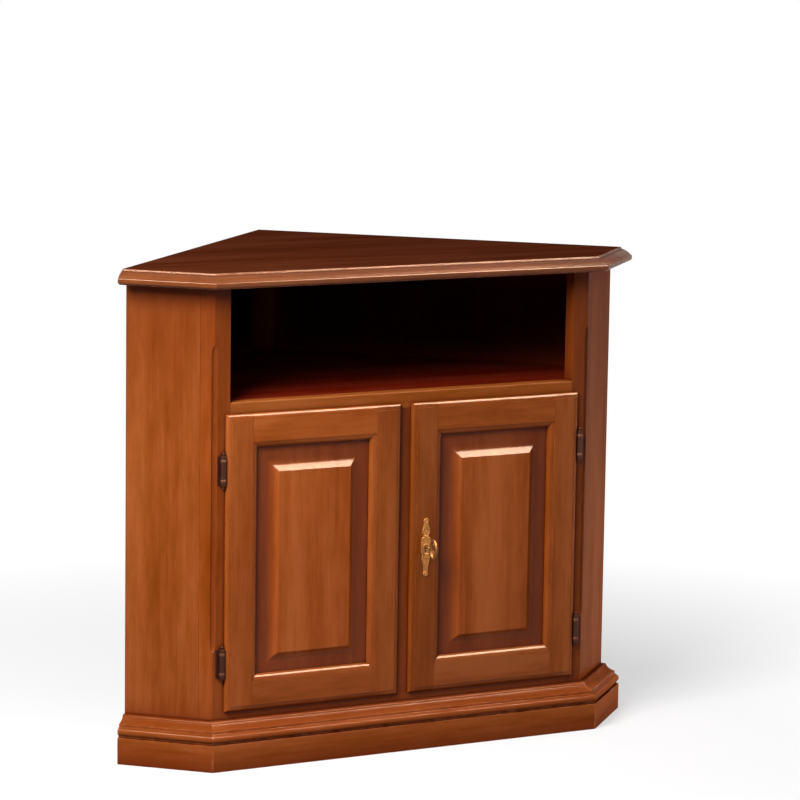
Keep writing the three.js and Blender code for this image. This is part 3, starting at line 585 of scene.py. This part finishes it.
def facing(direction):
    """Turn that brings +Z onto a direction."""
    return Vector((0, 0, 1)).rotation_difference(Vector(direction)).to_matrix().to_4x4()


def dome(bm, place, direction, radius, rise):
    """A low dome on the surface at place."""
    made = bmesh.ops.create_uvsphere(bm, u_segments=12, v_segments=6, radius=radius)
    bmesh.ops.scale(bm, verts=made["verts"], vec=(1, 1, rise / radius))
    seat = Matrix.Translation(place) @ facing(direction)
    bmesh.ops.transform(bm, verts=made["verts"], matrix=seat)


def slotted_screw(bm, place, direction, radius, rise, turn):
    """A slotted screw head with a soft rim, seated at place."""
    head = bmesh.new()
    bmesh.ops.create_circle(head, cap_ends=True, segments=20, radius=radius)
    raised = bmesh.ops.extrude_face_region(head, geom=head.faces[:])
    lid = [v for v in raised["geom"] if isinstance(v, bmesh.types.BMVert)]
    bmesh.ops.translate(head, verts=lid, vec=(0, 0, rise))
    bmesh.ops.scale(head, verts=lid, vec=(0.86, 0.86, 1))
    width = radius / 5

    def on_top(f):
        return all(v.co.z > rise / 2 for v in f.verts)

    for sign in (-1, 1):
        top = [f for f in head.faces if on_top(f)]
        geometry = {e for f in top for e in (*f.verts, *f.edges, f)}
        bmesh.ops.bisect_plane(
            head, geom=list(geometry), plane_co=(0, sign * width / 2, 0), plane_no=(0, 1, 0)
        )
    groove = [f for f in head.faces if on_top(f) and abs(f.calc_center_median().y) < width / 4]
    sunk = bmesh.ops.extrude_face_region(head, geom=groove)
    bmesh.ops.delete(head, geom=groove, context="FACES_ONLY")
    bmesh.ops.translate(
        head, verts=[v for v in sunk["geom"] if isinstance(v, bmesh.types.BMVert)],
        vec=(0, 0, -rise * 0.6),
    )
    bmesh.ops.recalc_face_normals(head, faces=head.faces)
    seat = Matrix.Translation(place) @ facing(direction) @ Matrix.Rotation(turn, 4, "Z")
    bmesh.ops.transform(head, matrix=seat, verts=head.verts)
    mesh = bpy.data.meshes.new("head")
    head.to_mesh(mesh)
    head.free()
    bm.from_mesh(mesh)
    bpy.data.meshes.remove(mesh)


def ring(bm, place, direction, radius, thickness, height):
    """A turned ring of rounded section round the line through place.

    The tag on its points keeps the next ring in the same bmesh from moving them.
    """
    section = bmesh.ops.create_circle(bm, segments=8, radius=1)["verts"]
    bmesh.ops.rotate(bm, verts=section, matrix=Matrix.Rotation(math.pi / 2, 3, "X"))
    bmesh.ops.scale(bm, verts=section, vec=(thickness, 1, height))
    bmesh.ops.translate(bm, verts=section, vec=(radius, 0, 0))
    edges = list({e for v in section for e in v.link_edges})
    bmesh.ops.spin(
        bm, geom=section + edges, cent=(0, 0, 0), axis=(0, 0, 1), angle=2 * math.pi, steps=28,
        use_merge=True,
    )
    verts = [v for v in bm.verts if not v.tag]
    bmesh.ops.transform(bm, verts=verts, matrix=Matrix.Translation(place) @ facing(direction))
    bmesh.ops.recalc_face_normals(bm, faces=list({f for v in verts for f in v.link_faces}))
    for vert in verts:
        vert.tag = True


# Operators


class CABINET_OT_carcass_wood(bpy.types.Operator):
    """Lacquered wood on the top, sides, posts and rails"""

    bl_idname = "cabinet.carcass_wood"
    bl_label = "Carcass Wood"

    def execute(self, context):
        wood = context.scene.cabinet_wood
        # The face of the top takes the top colour, a painted shade
        top = wood_material(
            "Top Board", wood.edge, ALONG_FRONT, roughness=0.45, gloss=2.1 * wood.gloss,
            shade_colour=wood.top, facing_way=(0, 0, 1), bare=0.5, polish=1.0, haze=0.25,
        )
        finish_node("top_board", top, wood.arris, segments=3)
        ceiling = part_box("top_board")[0].z
        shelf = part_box("middle_shelf")[0].z
        rail = wood_material("Rails", wood.posts, ALONG_FRONT, figure=0.25, gloss=wood.gloss / 2)
        # The right side is painted darker, as shade, and the painted shade under the top
        # reaches further down it
        for side, hand, tone, reach in ((-1, "left", 1.0, 260 * MM), (1, "right", 0.9, 460 * MM)):
            top_shade = (ceiling - reach, ceiling)
            post = wood_material(f"Post {hand}", toned(wood.posts, tone), UPRIGHT, figure=0.25,
                                 gloss=wood.gloss / 2, top_shade=top_shade)
            # Above the shelf, the inner faces take the niche colour, a painted shade
            panel = wood_material(
                f"Canted Side {hand}", toned(wood.sides, tone), UPRIGHT, figure=0.6,
                gloss=wood.gloss / 3, shade_colour=wood.niche,
                facing_way=(-side * DIAGONAL, DIAGONAL, 0), above=shelf, top_shade=top_shade,
            )
            finish_node(f"side_panel_{hand}", panel, wood.arris / 3)
            finish_node(f"corner_post_{hand}", post, wood.arris / 2)
        # The centre stile is as dark as the right post, painted shade included
        finish_node("centre_stile", post, wood.arris / 2)
        finish_node("bottom_rail", rail, wood.arris / 2)
        lipping = wood_material("Lipping", wood.lipping, ALONG_FRONT, figure=0.25, gloss=0.03)
        finish_node("shelf_lipping", lipping, wood.arris / 2)
        board = wood_material("Shelf", wood.shelf, ALONG_FRONT, figure=0.25)
        finish_node("middle_shelf", board, wood.arris / 2)
        return {"FINISHED"}


class CABINET_OT_base_wood(bpy.types.Operator):
    """Lacquered wood on the plinth boards and their moulding"""

    bl_idname = "cabinet.base_wood"
    bl_label = "Base Wood"

    def execute(self, context):
        wood = context.scene.cabinet_wood
        # The left plinth is made darker, as painted shade
        for end, turn, tone in (
            ("front", ALONG_FRONT, 1.0), ("left", ALONG_LEFT, 0.88), ("right", ALONG_RIGHT, 1.0),
        ):
            board = wood_material(f"Plinth {end}", toned(wood.base, tone), turn, figure=0.6,
                                  gloss=0.04, polish=1.0)
            for name in ("plinth", "base_moulding"):
                finish_node(f"{name}_{end}", board, wood.arris / 3)
        return {"FINISHED"}


class CABINET_OT_door_wood(bpy.types.Operator):
    """Lacquered wood on the stiles, rails and raised panels of both doors"""

    bl_idname = "cabinet.door_wood"
    bl_label = "Door Wood"

    def execute(self, context):
        wood = context.scene.cabinet_wood
        tones = {"hinge_stile": 0.95, "meeting_stile": 0.88, "top_rail": 1.05, "bottom_rail": 0.9}
        low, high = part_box("left_door_panel")
        # The bevels of the panels, from below the raised field to the groove of the frame
        recess = (low.y + 2.5 * MM, high.y - 5 * MM)
        # The left door is made lighter and the right darker: painted light and shade across the
        # front
        for hand, depth in zip(SIDES, (1.04, 0.92)):
            panel = wood_material(f"Raised Panel {hand}", toned(wood.panels, depth), UPRIGHT,
                                  figure=0.6, recess=recess)
            finish_node(f"{hand}_door_panel", panel, wood.arris / 2)
            for part, tone in tones.items():
                board = wood_material(
                    f"Door {hand} {part}", toned(wood.doors, depth * tone),
                    UPRIGHT if "stile" in part else ALONG_FRONT, figure=0.35, shelter_shade=0.1,
                )
                finish_node(f"{hand}_door_{part}", board, wood.arris / 5)
        return {"FINISHED"}


class CABINET_OT_inside_wood(bpy.types.Operator):
    """Plain stained wood on the shelves, battens, blocks and back"""

    bl_idname = "cabinet.inside_wood"
    bl_label = "Inside Wood"

    BOARD_ARRIS = 0.3 * MM
    BATTEN_ARRIS = 0.5 * MM

    def execute(self, context):
        wood = context.scene.cabinet_wood
        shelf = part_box("middle_shelf")[0].z
        # Above the shelf, the front of the rear post takes the niche colour, a painted shade
        post = wood_material(
            "Rear Post", wood.inside, UPRIGHT, figure=0.3, roughness=0.6, gloss=0.0,
            shade_colour=wood.niche, facing_way=(0, -1, 0), above=shelf,
        )
        finish_node("rear_post", post, self.BOARD_ARRIS)
        plain = wood_material("Plain Boards", wood.inside, ALONG_FRONT, figure=0.3,
                              roughness=0.62, gloss=0.0)
        for name in ("inner_shelf", "bottom_board", "corner_block_left", "corner_block_right"):
            finish_node(name, plain, self.BOARD_ARRIS)
        # The niche colour of the right back panel is three times lighter: painted light in that part
        # of the niche
        for side, hand, turn, tone in (
            (-1, "left", ALONG_LEFT, 1.0), (1, "right", ALONG_RIGHT, 3.0),
        ):
            back = wood_material(
                f"Back Panel {hand}", wood.inside, UPRIGHT, figure=0.3, roughness=0.6, gloss=0.0,
                shade_colour=toned(wood.niche, tone), facing_way=(-side * DIAGONAL, -DIAGONAL, 0),
                above=shelf,
            )
            finish_node(f"back_panel_{hand}", back, self.BOARD_ARRIS)
            batten = wood_material(f"Battens {hand}", wood.inside, turn, figure=0.3,
                                   roughness=0.65, gloss=0.0)
            for board in ("top", "middle_shelf", "inner_shelf", "bottom_board"):
                finish_node(f"{board}_batten_{hand}", batten, self.BATTEN_ARRIS)
        return {"FINISHED"}


def shared_metal(name):
    """One of the five metals, made when it is first asked for."""
    made = bpy.data.materials.get(name)
    if made:
        return made
    metal = bpy.context.scene.cabinet_metal
    bright = [min(1, 1.3 * c) for c in metal.brass]
    # Metal, tarnish and rubbed colours, then cover of the patina, roughness and shine
    kinds = {
        "Dark Bronze": (metal.bronze, toned(metal.bronze, 0.5), metal.rubbed, 0.5, 0.5, 0.4),
        "Rubbed Bronze": (metal.rubbed, toned(metal.rubbed, 0.5), metal.rubbed, 0.3, 0.45, 0.5),
        "Old Brass": (metal.brass, metal.tarnish, bright, 0.6, 0.5, 0.4),
        "Key Brass": (metal.worn, metal.tarnish, metal.brass, 0.45, 0.5, 0.5),
        "Steel": (metal.steel, toned(metal.steel, 0.55), metal.steel, 0.35, 0.38, 1.0),
    }
    return metal_material(name, *kinds[name])


class CABINET_OT_metal(bpy.types.Operator):
    """Aged metal on the hinges, lock, key, escutcheon and catch"""

    bl_idname = "cabinet.metal"
    bl_label = "Metal"

    HINGE_ARRIS = 0.25 * MM
    FITTINGS = (
        ("escutcheon", "Old Brass", 0.4 * MM), ("lock_bolt", "Old Brass", 0.2 * MM),
        ("strike_plate", "Old Brass", 0.2 * MM), ("key", "Key Brass", 0.15 * MM),
        ("lock_case", "Steel", 0.3 * MM), ("magnet_catch", "Steel", 0.3 * MM),
        ("catch_plate", "Steel", 0.3 * MM),
    )

    def execute(self, context):
        bronze = shared_metal("Dark Bronze")
        for hand in SIDES:
            for level in LEVELS:
                for part in ("door_leaf", "frame_leaf", "hinge_pin"):
                    finish_node(f"{hand}_{level}_{part}", bronze, self.HINGE_ARRIS)
        for name, metal, arris in self.FITTINGS:
            finish_node(name, shared_metal(metal), arris)
        return {"FINISHED"}


class CABINET_OT_hinge_details(bpy.types.Operator):
    """Rings round the knuckles and screws in the leaves of the four hinges"""

    bl_idname = "cabinet.hinge_details"
    bl_label = "Hinge Details"

    BARREL = 4.6 * MM
    RING_INSET = 6.5 * MM
    SCREW_INSET = 2.6 * MM
    SCREW_HEIGHTS = (-15 * MM, 0, 15 * MM)

    def execute(self, context):
        metal = context.scene.cabinet_metal
        for side, hand in zip((-1, 1), SIDES):
            for level in LEVELS:
                axis = middle(f"{hand}_{level}_hinge_pin")
                low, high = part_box(f"{hand}_{level}_frame_leaf")
                rings = bmesh.new()
                for height in (low.z + self.RING_INSET, high.z - self.RING_INSET):
                    ring(rings, (axis.x, axis.y, height), (0, 0, 1), radius=self.BARREL,
                         thickness=0.45 * MM, height=2.2 * MM)
                new_piece(f"{hand}_{level}_hinge_rings", rings, "carcass",
                          shared_metal("Rubbed Bronze"))
                leaf_low, leaf_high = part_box(f"{hand}_{level}_door_leaf")
                screws = bmesh.new()
                outer = leaf_high.x if side < 0 else leaf_low.x
                reach = outer + side * self.SCREW_INSET
                for i, height in enumerate(self.SCREW_HEIGHTS):
                    # No two slots stand at the same angle
                    slotted_screw(
                        screws, (reach, leaf_high.y, axis.z + height), (0, 1, 0),
                        radius=metal.screw / 2, rise=0.35 * MM, turn=i * 1.1 + axis.z * 7,
                    )
                new_piece(f"{hand}_{level}_leaf_screws", screws, f"{hand}_door",
                          shared_metal("Steel"))
        return {"FINISHED"}


class CABINET_OT_escutcheon_relief(bpy.types.Operator):
    """Cast ribs, rods and pin heads on the escutcheon"""

    bl_idname = "cabinet.escutcheon_relief"
    bl_label = "Escutcheon Relief"

    LOBE = 4.7 * MM
    DRAWN_ABOVE = 48
    DRAWN_BELOW = 40

    def execute(self, context):
        rib = context.scene.cabinet_metal.rib
        low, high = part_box("escutcheon")
        axis = middle("key")
        face = low.y

        # The ribs are drawn to these heights above and below the key, and fitted to the plate
        above = (high.z - axis.z - self.LOBE) / self.DRAWN_ABOVE
        below = (axis.z - low.z - self.LOBE) / self.DRAWN_BELOW

        def at(x, z):
            return Vector((axis.x + x * MM, face, axis.z + z * (above if z > 0 else below)))

        rods = [[(at(x, -8.4), 0.9), (at(x, -4), 1.25), (at(x, 3.5), 1.25), (at(x, 11), 1.25),
                 (at(x, 15.4), 0.9)] for x in (-7.2, 7.2)]
        bars = [[(at(-x, z), 0.7), (at(-x / 3, z + bow), 1.1), (at(x / 3, z + bow), 1.1),
                 (at(x, z), 0.7)]
                for x, z, bow in ((6.4, 17.2, 1.2), (6.4, -9.6, -0.8), (4.2, 21.2, 0.0))]
        petals = []
        for side in (-1, 1):
            petals.append([(at(side * 1.2, 22.5), 0.8), (at(side * 5.8, 25.5), 1.1),
                           (at(side * 6.0, 30.5), 1.1), (at(side * 3.6, 36.5), 0.9),
                           (at(side * 2.6, 42.5), 0.6)])
            petals.append([(at(side * 5.4, -11.5), 0.8), (at(side * 7.0, -16.5), 1.1),
                           (at(side * 5.2, -23.5), 1.0), (at(side * 3.4, -30), 0.8),
                           (at(side * 2.6, -35.5), 0.6)])
        spines = [[(at(0, 23), 1.0), (at(0, 30), 1.5), (at(0, 37), 1.1), (at(0, 43), 0.6)],
                  [(at(0, -12), 1.0), (at(0, -19), 1.7), (at(0, -27), 1.2), (at(0, -35), 0.6)]]
        tube_piece("escutcheon_ribs", rods + bars + petals + spines, rib, "right_door",
                   shared_metal("Old Brass"))
        beads = bmesh.new()
        for z in (high.z - self.LOBE, low.z + self.LOBE):
            ring(beads, (axis.x, face, z), (0, -1, 0), radius=3.3 * MM, thickness=0.9 * MM,
                 height=0.7 * MM)
        ring(beads, (axis.x, face, axis.z), (0, -1, 0), radius=4.6 * MM, thickness=0.8 * MM,
             height=0.6 * MM)
        new_piece("escutcheon_beads", beads, "right_door", shared_metal("Old Brass"))
        heads = bmesh.new()
        for z in (high.z - self.LOBE, low.z + self.LOBE):
            dome(heads, (axis.x, face + 0.3 * MM, z), (0, -1, 0), radius=1.9 * MM, rise=1.1 * MM)
        new_piece("escutcheon_pins", heads, "right_door", shared_metal("Old Brass"))
        return {"FINISHED"}


class CABINET_OT_key_bow(bpy.types.Operator):
    """Scrolls inside the open bow of the key"""

    bl_idname = "cabinet.key_bow"
    bl_label = "Key Bow"

    CENTRE = 11 * MM
    SQUEEZE = 0.87
    WIRE = 0.6 * MM

    def execute(self, context):
        low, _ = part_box("key")
        axis = middle("key")
        centre_y = low.y + self.CENTRE

        def at(y, z):
            return Vector((axis.x, centre_y + self.SQUEEZE * y * MM, axis.z + z * MM))

        scrolls = []
        for up in (-1, 1):
            scrolls.append([
                (at(8.2, up * 1.2), 1.0), (at(4.5, up * 1.0), 1.1), (at(0.4, up * 2.2), 1.1),
                (at(-3.4, up * 5.4), 1.0), (at(-2.4, up * 9.6), 0.95),
                (at(1.8, up * 10.2), 0.9), (at(3.2, up * 6.8), 0.8),
            ])
        tube_piece("key_scrolls", scrolls, self.WIRE, "key",
                   shared_metal("Key Brass"))
        return {"FINISHED"}


class CABINET_OT_inner_screws(bpy.types.Operator):
    """Screws that hold the lock case and the catch plate to the doors"""

    bl_idname = "cabinet.inner_screws"
    bl_label = "Inner Screws"

    def execute(self, context):
        metal = context.scene.cabinet_metal
        for part, body, inset in (
            ("lock_case", "right_door", 3.6 * MM), ("catch_plate", "left_door", 4.0 * MM),
        ):
            low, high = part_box(part)
            screws = bmesh.new()
            corners = [(x, z) for x in (low.x + inset, high.x - inset)
                       for z in (low.z + inset, high.z - inset)]
            for i, (x, z) in enumerate(corners):
                slotted_screw(screws, (x, high.y, z), (0, 1, 0), radius=metal.screw / 2,
                              rise=0.4 * MM, turn=0.9 * i)
            new_piece(f"{part}_screws", screws, body, shared_metal("Steel"))
        return {"FINISHED"}


class CABINET_OT_back_pins(bpy.types.Operator):
    """Panel pins along the edges of both back panels"""

    bl_idname = "cabinet.back_pins"
    bl_label = "Back Pins"

    PANEL = 6 * MM
    EDGE_INSET = 5 * MM
    END_INSET = 15 * MM

    def execute(self, context):
        metal = context.scene.cabinet_metal
        for side, hand in zip((-1, 1), SIDES):
            low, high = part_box(f"back_panel_{hand}")
            outward = Vector((side * DIAGONAL, DIAGONAL, 0))
            run = Vector((-side * DIAGONAL, DIAGONAL, 0))
            outer_x = high.x if side > 0 else low.x
            # The outer corner of the panel by the side, and its width up to the rear post
            near = Vector((outer_x, low.y + self.PANEL * DIAGONAL, 0))
            width = (high.y - low.y) * math.sqrt(2) - self.PANEL
            span = high.z - low.z - 2 * self.END_INSET
            rows = int(span / metal.pin_step)
            pins = bmesh.new()
            for along in (self.EDGE_INSET, width - self.EDGE_INSET):
                place = near + run * along
                for row in range(rows + 1):
                    z = low.z + self.END_INSET + row * span / rows
                    dome(pins, (place.x, place.y, z), outward, radius=metal.pin / 2,
                         rise=0.35 * MM)
            new_piece(f"back_pins_{hand}", pins, "carcass", shared_metal("Steel"))
        return {"FINISHED"}


def area_lamp(name, power, size, place, target, tint=(1, 1, 1), turn=0.0):
    """A rectangular lamp that faces the target, turned about its own axis."""
    lamp = bpy.data.lights.new(name, "AREA")
    lamp.shape = "RECTANGLE"
    lamp.size, lamp.size_y = size
    lamp.energy = power
    lamp.color = tint
    obj = bpy.data.objects.new(name, lamp)
    obj.location = place
    aim = (Vector(target) - Vector(place)).to_track_quat("-Z", "Y").to_matrix()
    obj.rotation_euler = (aim @ Matrix.Rotation(turn, 3, "Z")).to_euler()
    bpy.context.scene.collection.objects.link(obj)
    return obj


class CABINET_OT_studio(bpy.types.Operator):
    """Camera, lamps, pale floor and white surroundings"""

    bl_idname = "cabinet.studio"
    bl_label = "Studio"

    def execute(self, context):
        scene = context.scene
        studio = scene.cabinet_studio
        scene.view_settings.view_transform = "Standard"
        self.place_camera(scene, studio)
        target = (0, -0.1, 0.45)
        area_lamp("Key", studio.key, (1.3, 1.3), (-1.75, -1.3, 2.1), target)
        fill = area_lamp("Fill", studio.fill, (1.0, 0.4), (1.9, -0.3, 0.25), target)
        fill.visible_glossy = False
        for name, place, turn in (
            ("Left Window", (-1.75, -0.75, 2.15), 0.0),
            ("Right Window", (1.0, -1.2, 2.05), math.radians(-35)),
        ):
            window = area_lamp(name, studio.windows, (1.1, 1.5), place, target, WINDOW_TINT, turn)
            window.visible_diffuse = False
        self.light_room(scene, studio)
        self.lay_floor(scene, studio)
        return {"FINISHED"}

    def place_camera(self, scene, studio):
        yaw, pitch, roll = studio.yaw, studio.pitch, studio.roll
        view = Vector((math.sin(yaw) * math.cos(pitch), math.cos(yaw) * math.cos(pitch),
                       -math.sin(pitch)))
        right = Vector((math.cos(yaw), -math.sin(yaw), 0))
        up = right.cross(view)
        tilted = right * math.cos(roll) + up * math.sin(roll)
        raised = up * math.cos(roll) - right * math.sin(roll)
        target = Vector((0, studio.face, studio.height)) + right * studio.slip
        data = bpy.data.cameras.new("Camera")
        data.lens = studio.lens
        data.sensor_width = 36
        data.clip_end = 100
        camera = bpy.data.objects.new("Camera", data)
        turn = Matrix((tilted, raised, -view)).transposed()
        camera.matrix_world = Matrix.Translation(target - view * studio.distance) @ turn.to_4x4()
        scene.collection.objects.link(camera)
        scene.camera = camera

    def seen(self, wires):
        """One for the rays that show the surroundings, none for those that light the cabinet."""
        path = wires.add("LightPath").outputs
        clear = wires.math("ADD", path["Is Camera Ray"], path["Is Transmission Ray"])
        return wires.math("ADD", clear, path["Is Glossy Ray"], clamp=True)

    def light_room(self, scene, studio):
        world = bpy.data.worlds.new("Studio")
        world.use_nodes = True
        scene.world = world
        wires = Wires(world.node_tree)
        room = world.node_tree.nodes["Background"]
        seen = self.seen(wires)
        wires.put(room.inputs["Color"], wires.mix(seen, opaque([studio.sky] * 3), opaque([1] * 3)))
        room.inputs["Strength"].default_value = 1.0

    def lay_floor(self, scene, studio):
        bm = bmesh.new()
        bmesh.ops.create_grid(bm, x_segments=1, y_segments=1, size=30)
        # A hair below the plinth, so that the two never share a plane
        bmesh.ops.translate(bm, verts=bm.verts, vec=(0, 0, -0.2 * MM))
        mesh = bpy.data.meshes.new("floor")
        bm.to_mesh(mesh)
        bm.free()
        floor = bpy.data.objects.new("floor", mesh)
        scene.collection.objects.link(floor)
        material, wires, shader, place = start_material("Studio Floor")
        mesh.materials.append(material)
        shader.inputs["Specular IOR Level"].default_value = 0.0
        shader.inputs["Roughness"].default_value = 0.9
        seen = self.seen(wires)
        cloud = wires.noise(place, 1.3, detail=3.0)
        pale = wires.mix(wires.ramp(cloud, 0.3, 0.7), opaque([0.94 * c for c in studio.floor]),
                         opaque(studio.floor))
        dim = opaque([studio.bounce * c for c in studio.floor])
        wires.put(shader.inputs["Base Color"], wires.mix(seen, dim, pale))
        # The floor fades into the white surroundings away from the cabinet
        centre = wires.add("VectorMath", {0: place, 1: (0.1, -0.1, 0)}, operation="DISTANCE")
        far = wires.ramp(centre.outputs["Value"], 0.6, 1.5, 0.5, 1.0)
        white = wires.add("Emission", {"Color": (1, 1, 1, 1), "Strength": 1.0})
        mixed = wires.add("MixShader", {
            0: wires.math("MULTIPLY", seen, far), 1: shader.outputs[0], 2: white.outputs[0],
        })
        output = material.node_tree.nodes["Material Output"]
        wires.put(output.inputs["Surface"], mixed.outputs[0])


PIECE_OPERATORS = (
    CABINET_OT_carcass_wood, CABINET_OT_base_wood, CABINET_OT_door_wood, CABINET_OT_inside_wood,
    CABINET_OT_metal, CABINET_OT_hinge_details, CABINET_OT_escutcheon_relief, CABINET_OT_key_bow,
    CABINET_OT_inner_screws, CABINET_OT_back_pins,
)


class CABINET_PT_sidebar(bpy.types.Panel):
    """Lists the cabinet's settings and the steps that finish it"""

    bl_label = "Corner Cabinet"
    bl_idname = "CABINET_PT_sidebar"
    bl_space_type = "VIEW_3D"
    bl_region_type = "UI"
    bl_category = "Cabinet"

    def draw(self, context):
        for group in ("cabinet_wood", "cabinet_metal", "cabinet_studio"):
            settings = getattr(context.scene, group)
            box = self.layout.box()
            for name in settings.__annotations__:
                box.prop(settings, name)
        for operator in (CABINET_OT_studio, *PIECE_OPERATORS):
            self.layout.operator(operator.bl_idname)


SETTINGS = {
    "cabinet_wood": CabinetWood, "cabinet_metal": CabinetMetal, "cabinet_studio": CabinetStudio,
}
CLASSES = (*SETTINGS.values(), CABINET_OT_studio, *PIECE_OPERATORS, CABINET_PT_sidebar)


def register():
    for cls in CLASSES:
        bpy.utils.register_class(cls)
    for name, cls in SETTINGS.items():
        setattr(bpy.types.Scene, name, PointerProperty(type=cls))


def unregister():
    for name in SETTINGS:
        delattr(bpy.types.Scene, name)
    for cls in reversed(CLASSES):
        bpy.utils.unregister_class(cls)


def plain(bounds):
    """Bounds as plain lists of numbers."""
    return [[float(value) for value in corner] for corner in bounds]


def main():
    register()
    for operator in (CABINET_OT_studio, *PIECE_OPERATORS):
        group, name = operator.bl_idname.split(".")
        getattr(getattr(bpy.ops, group), name)()


if __name__ == "__main__":
    main()
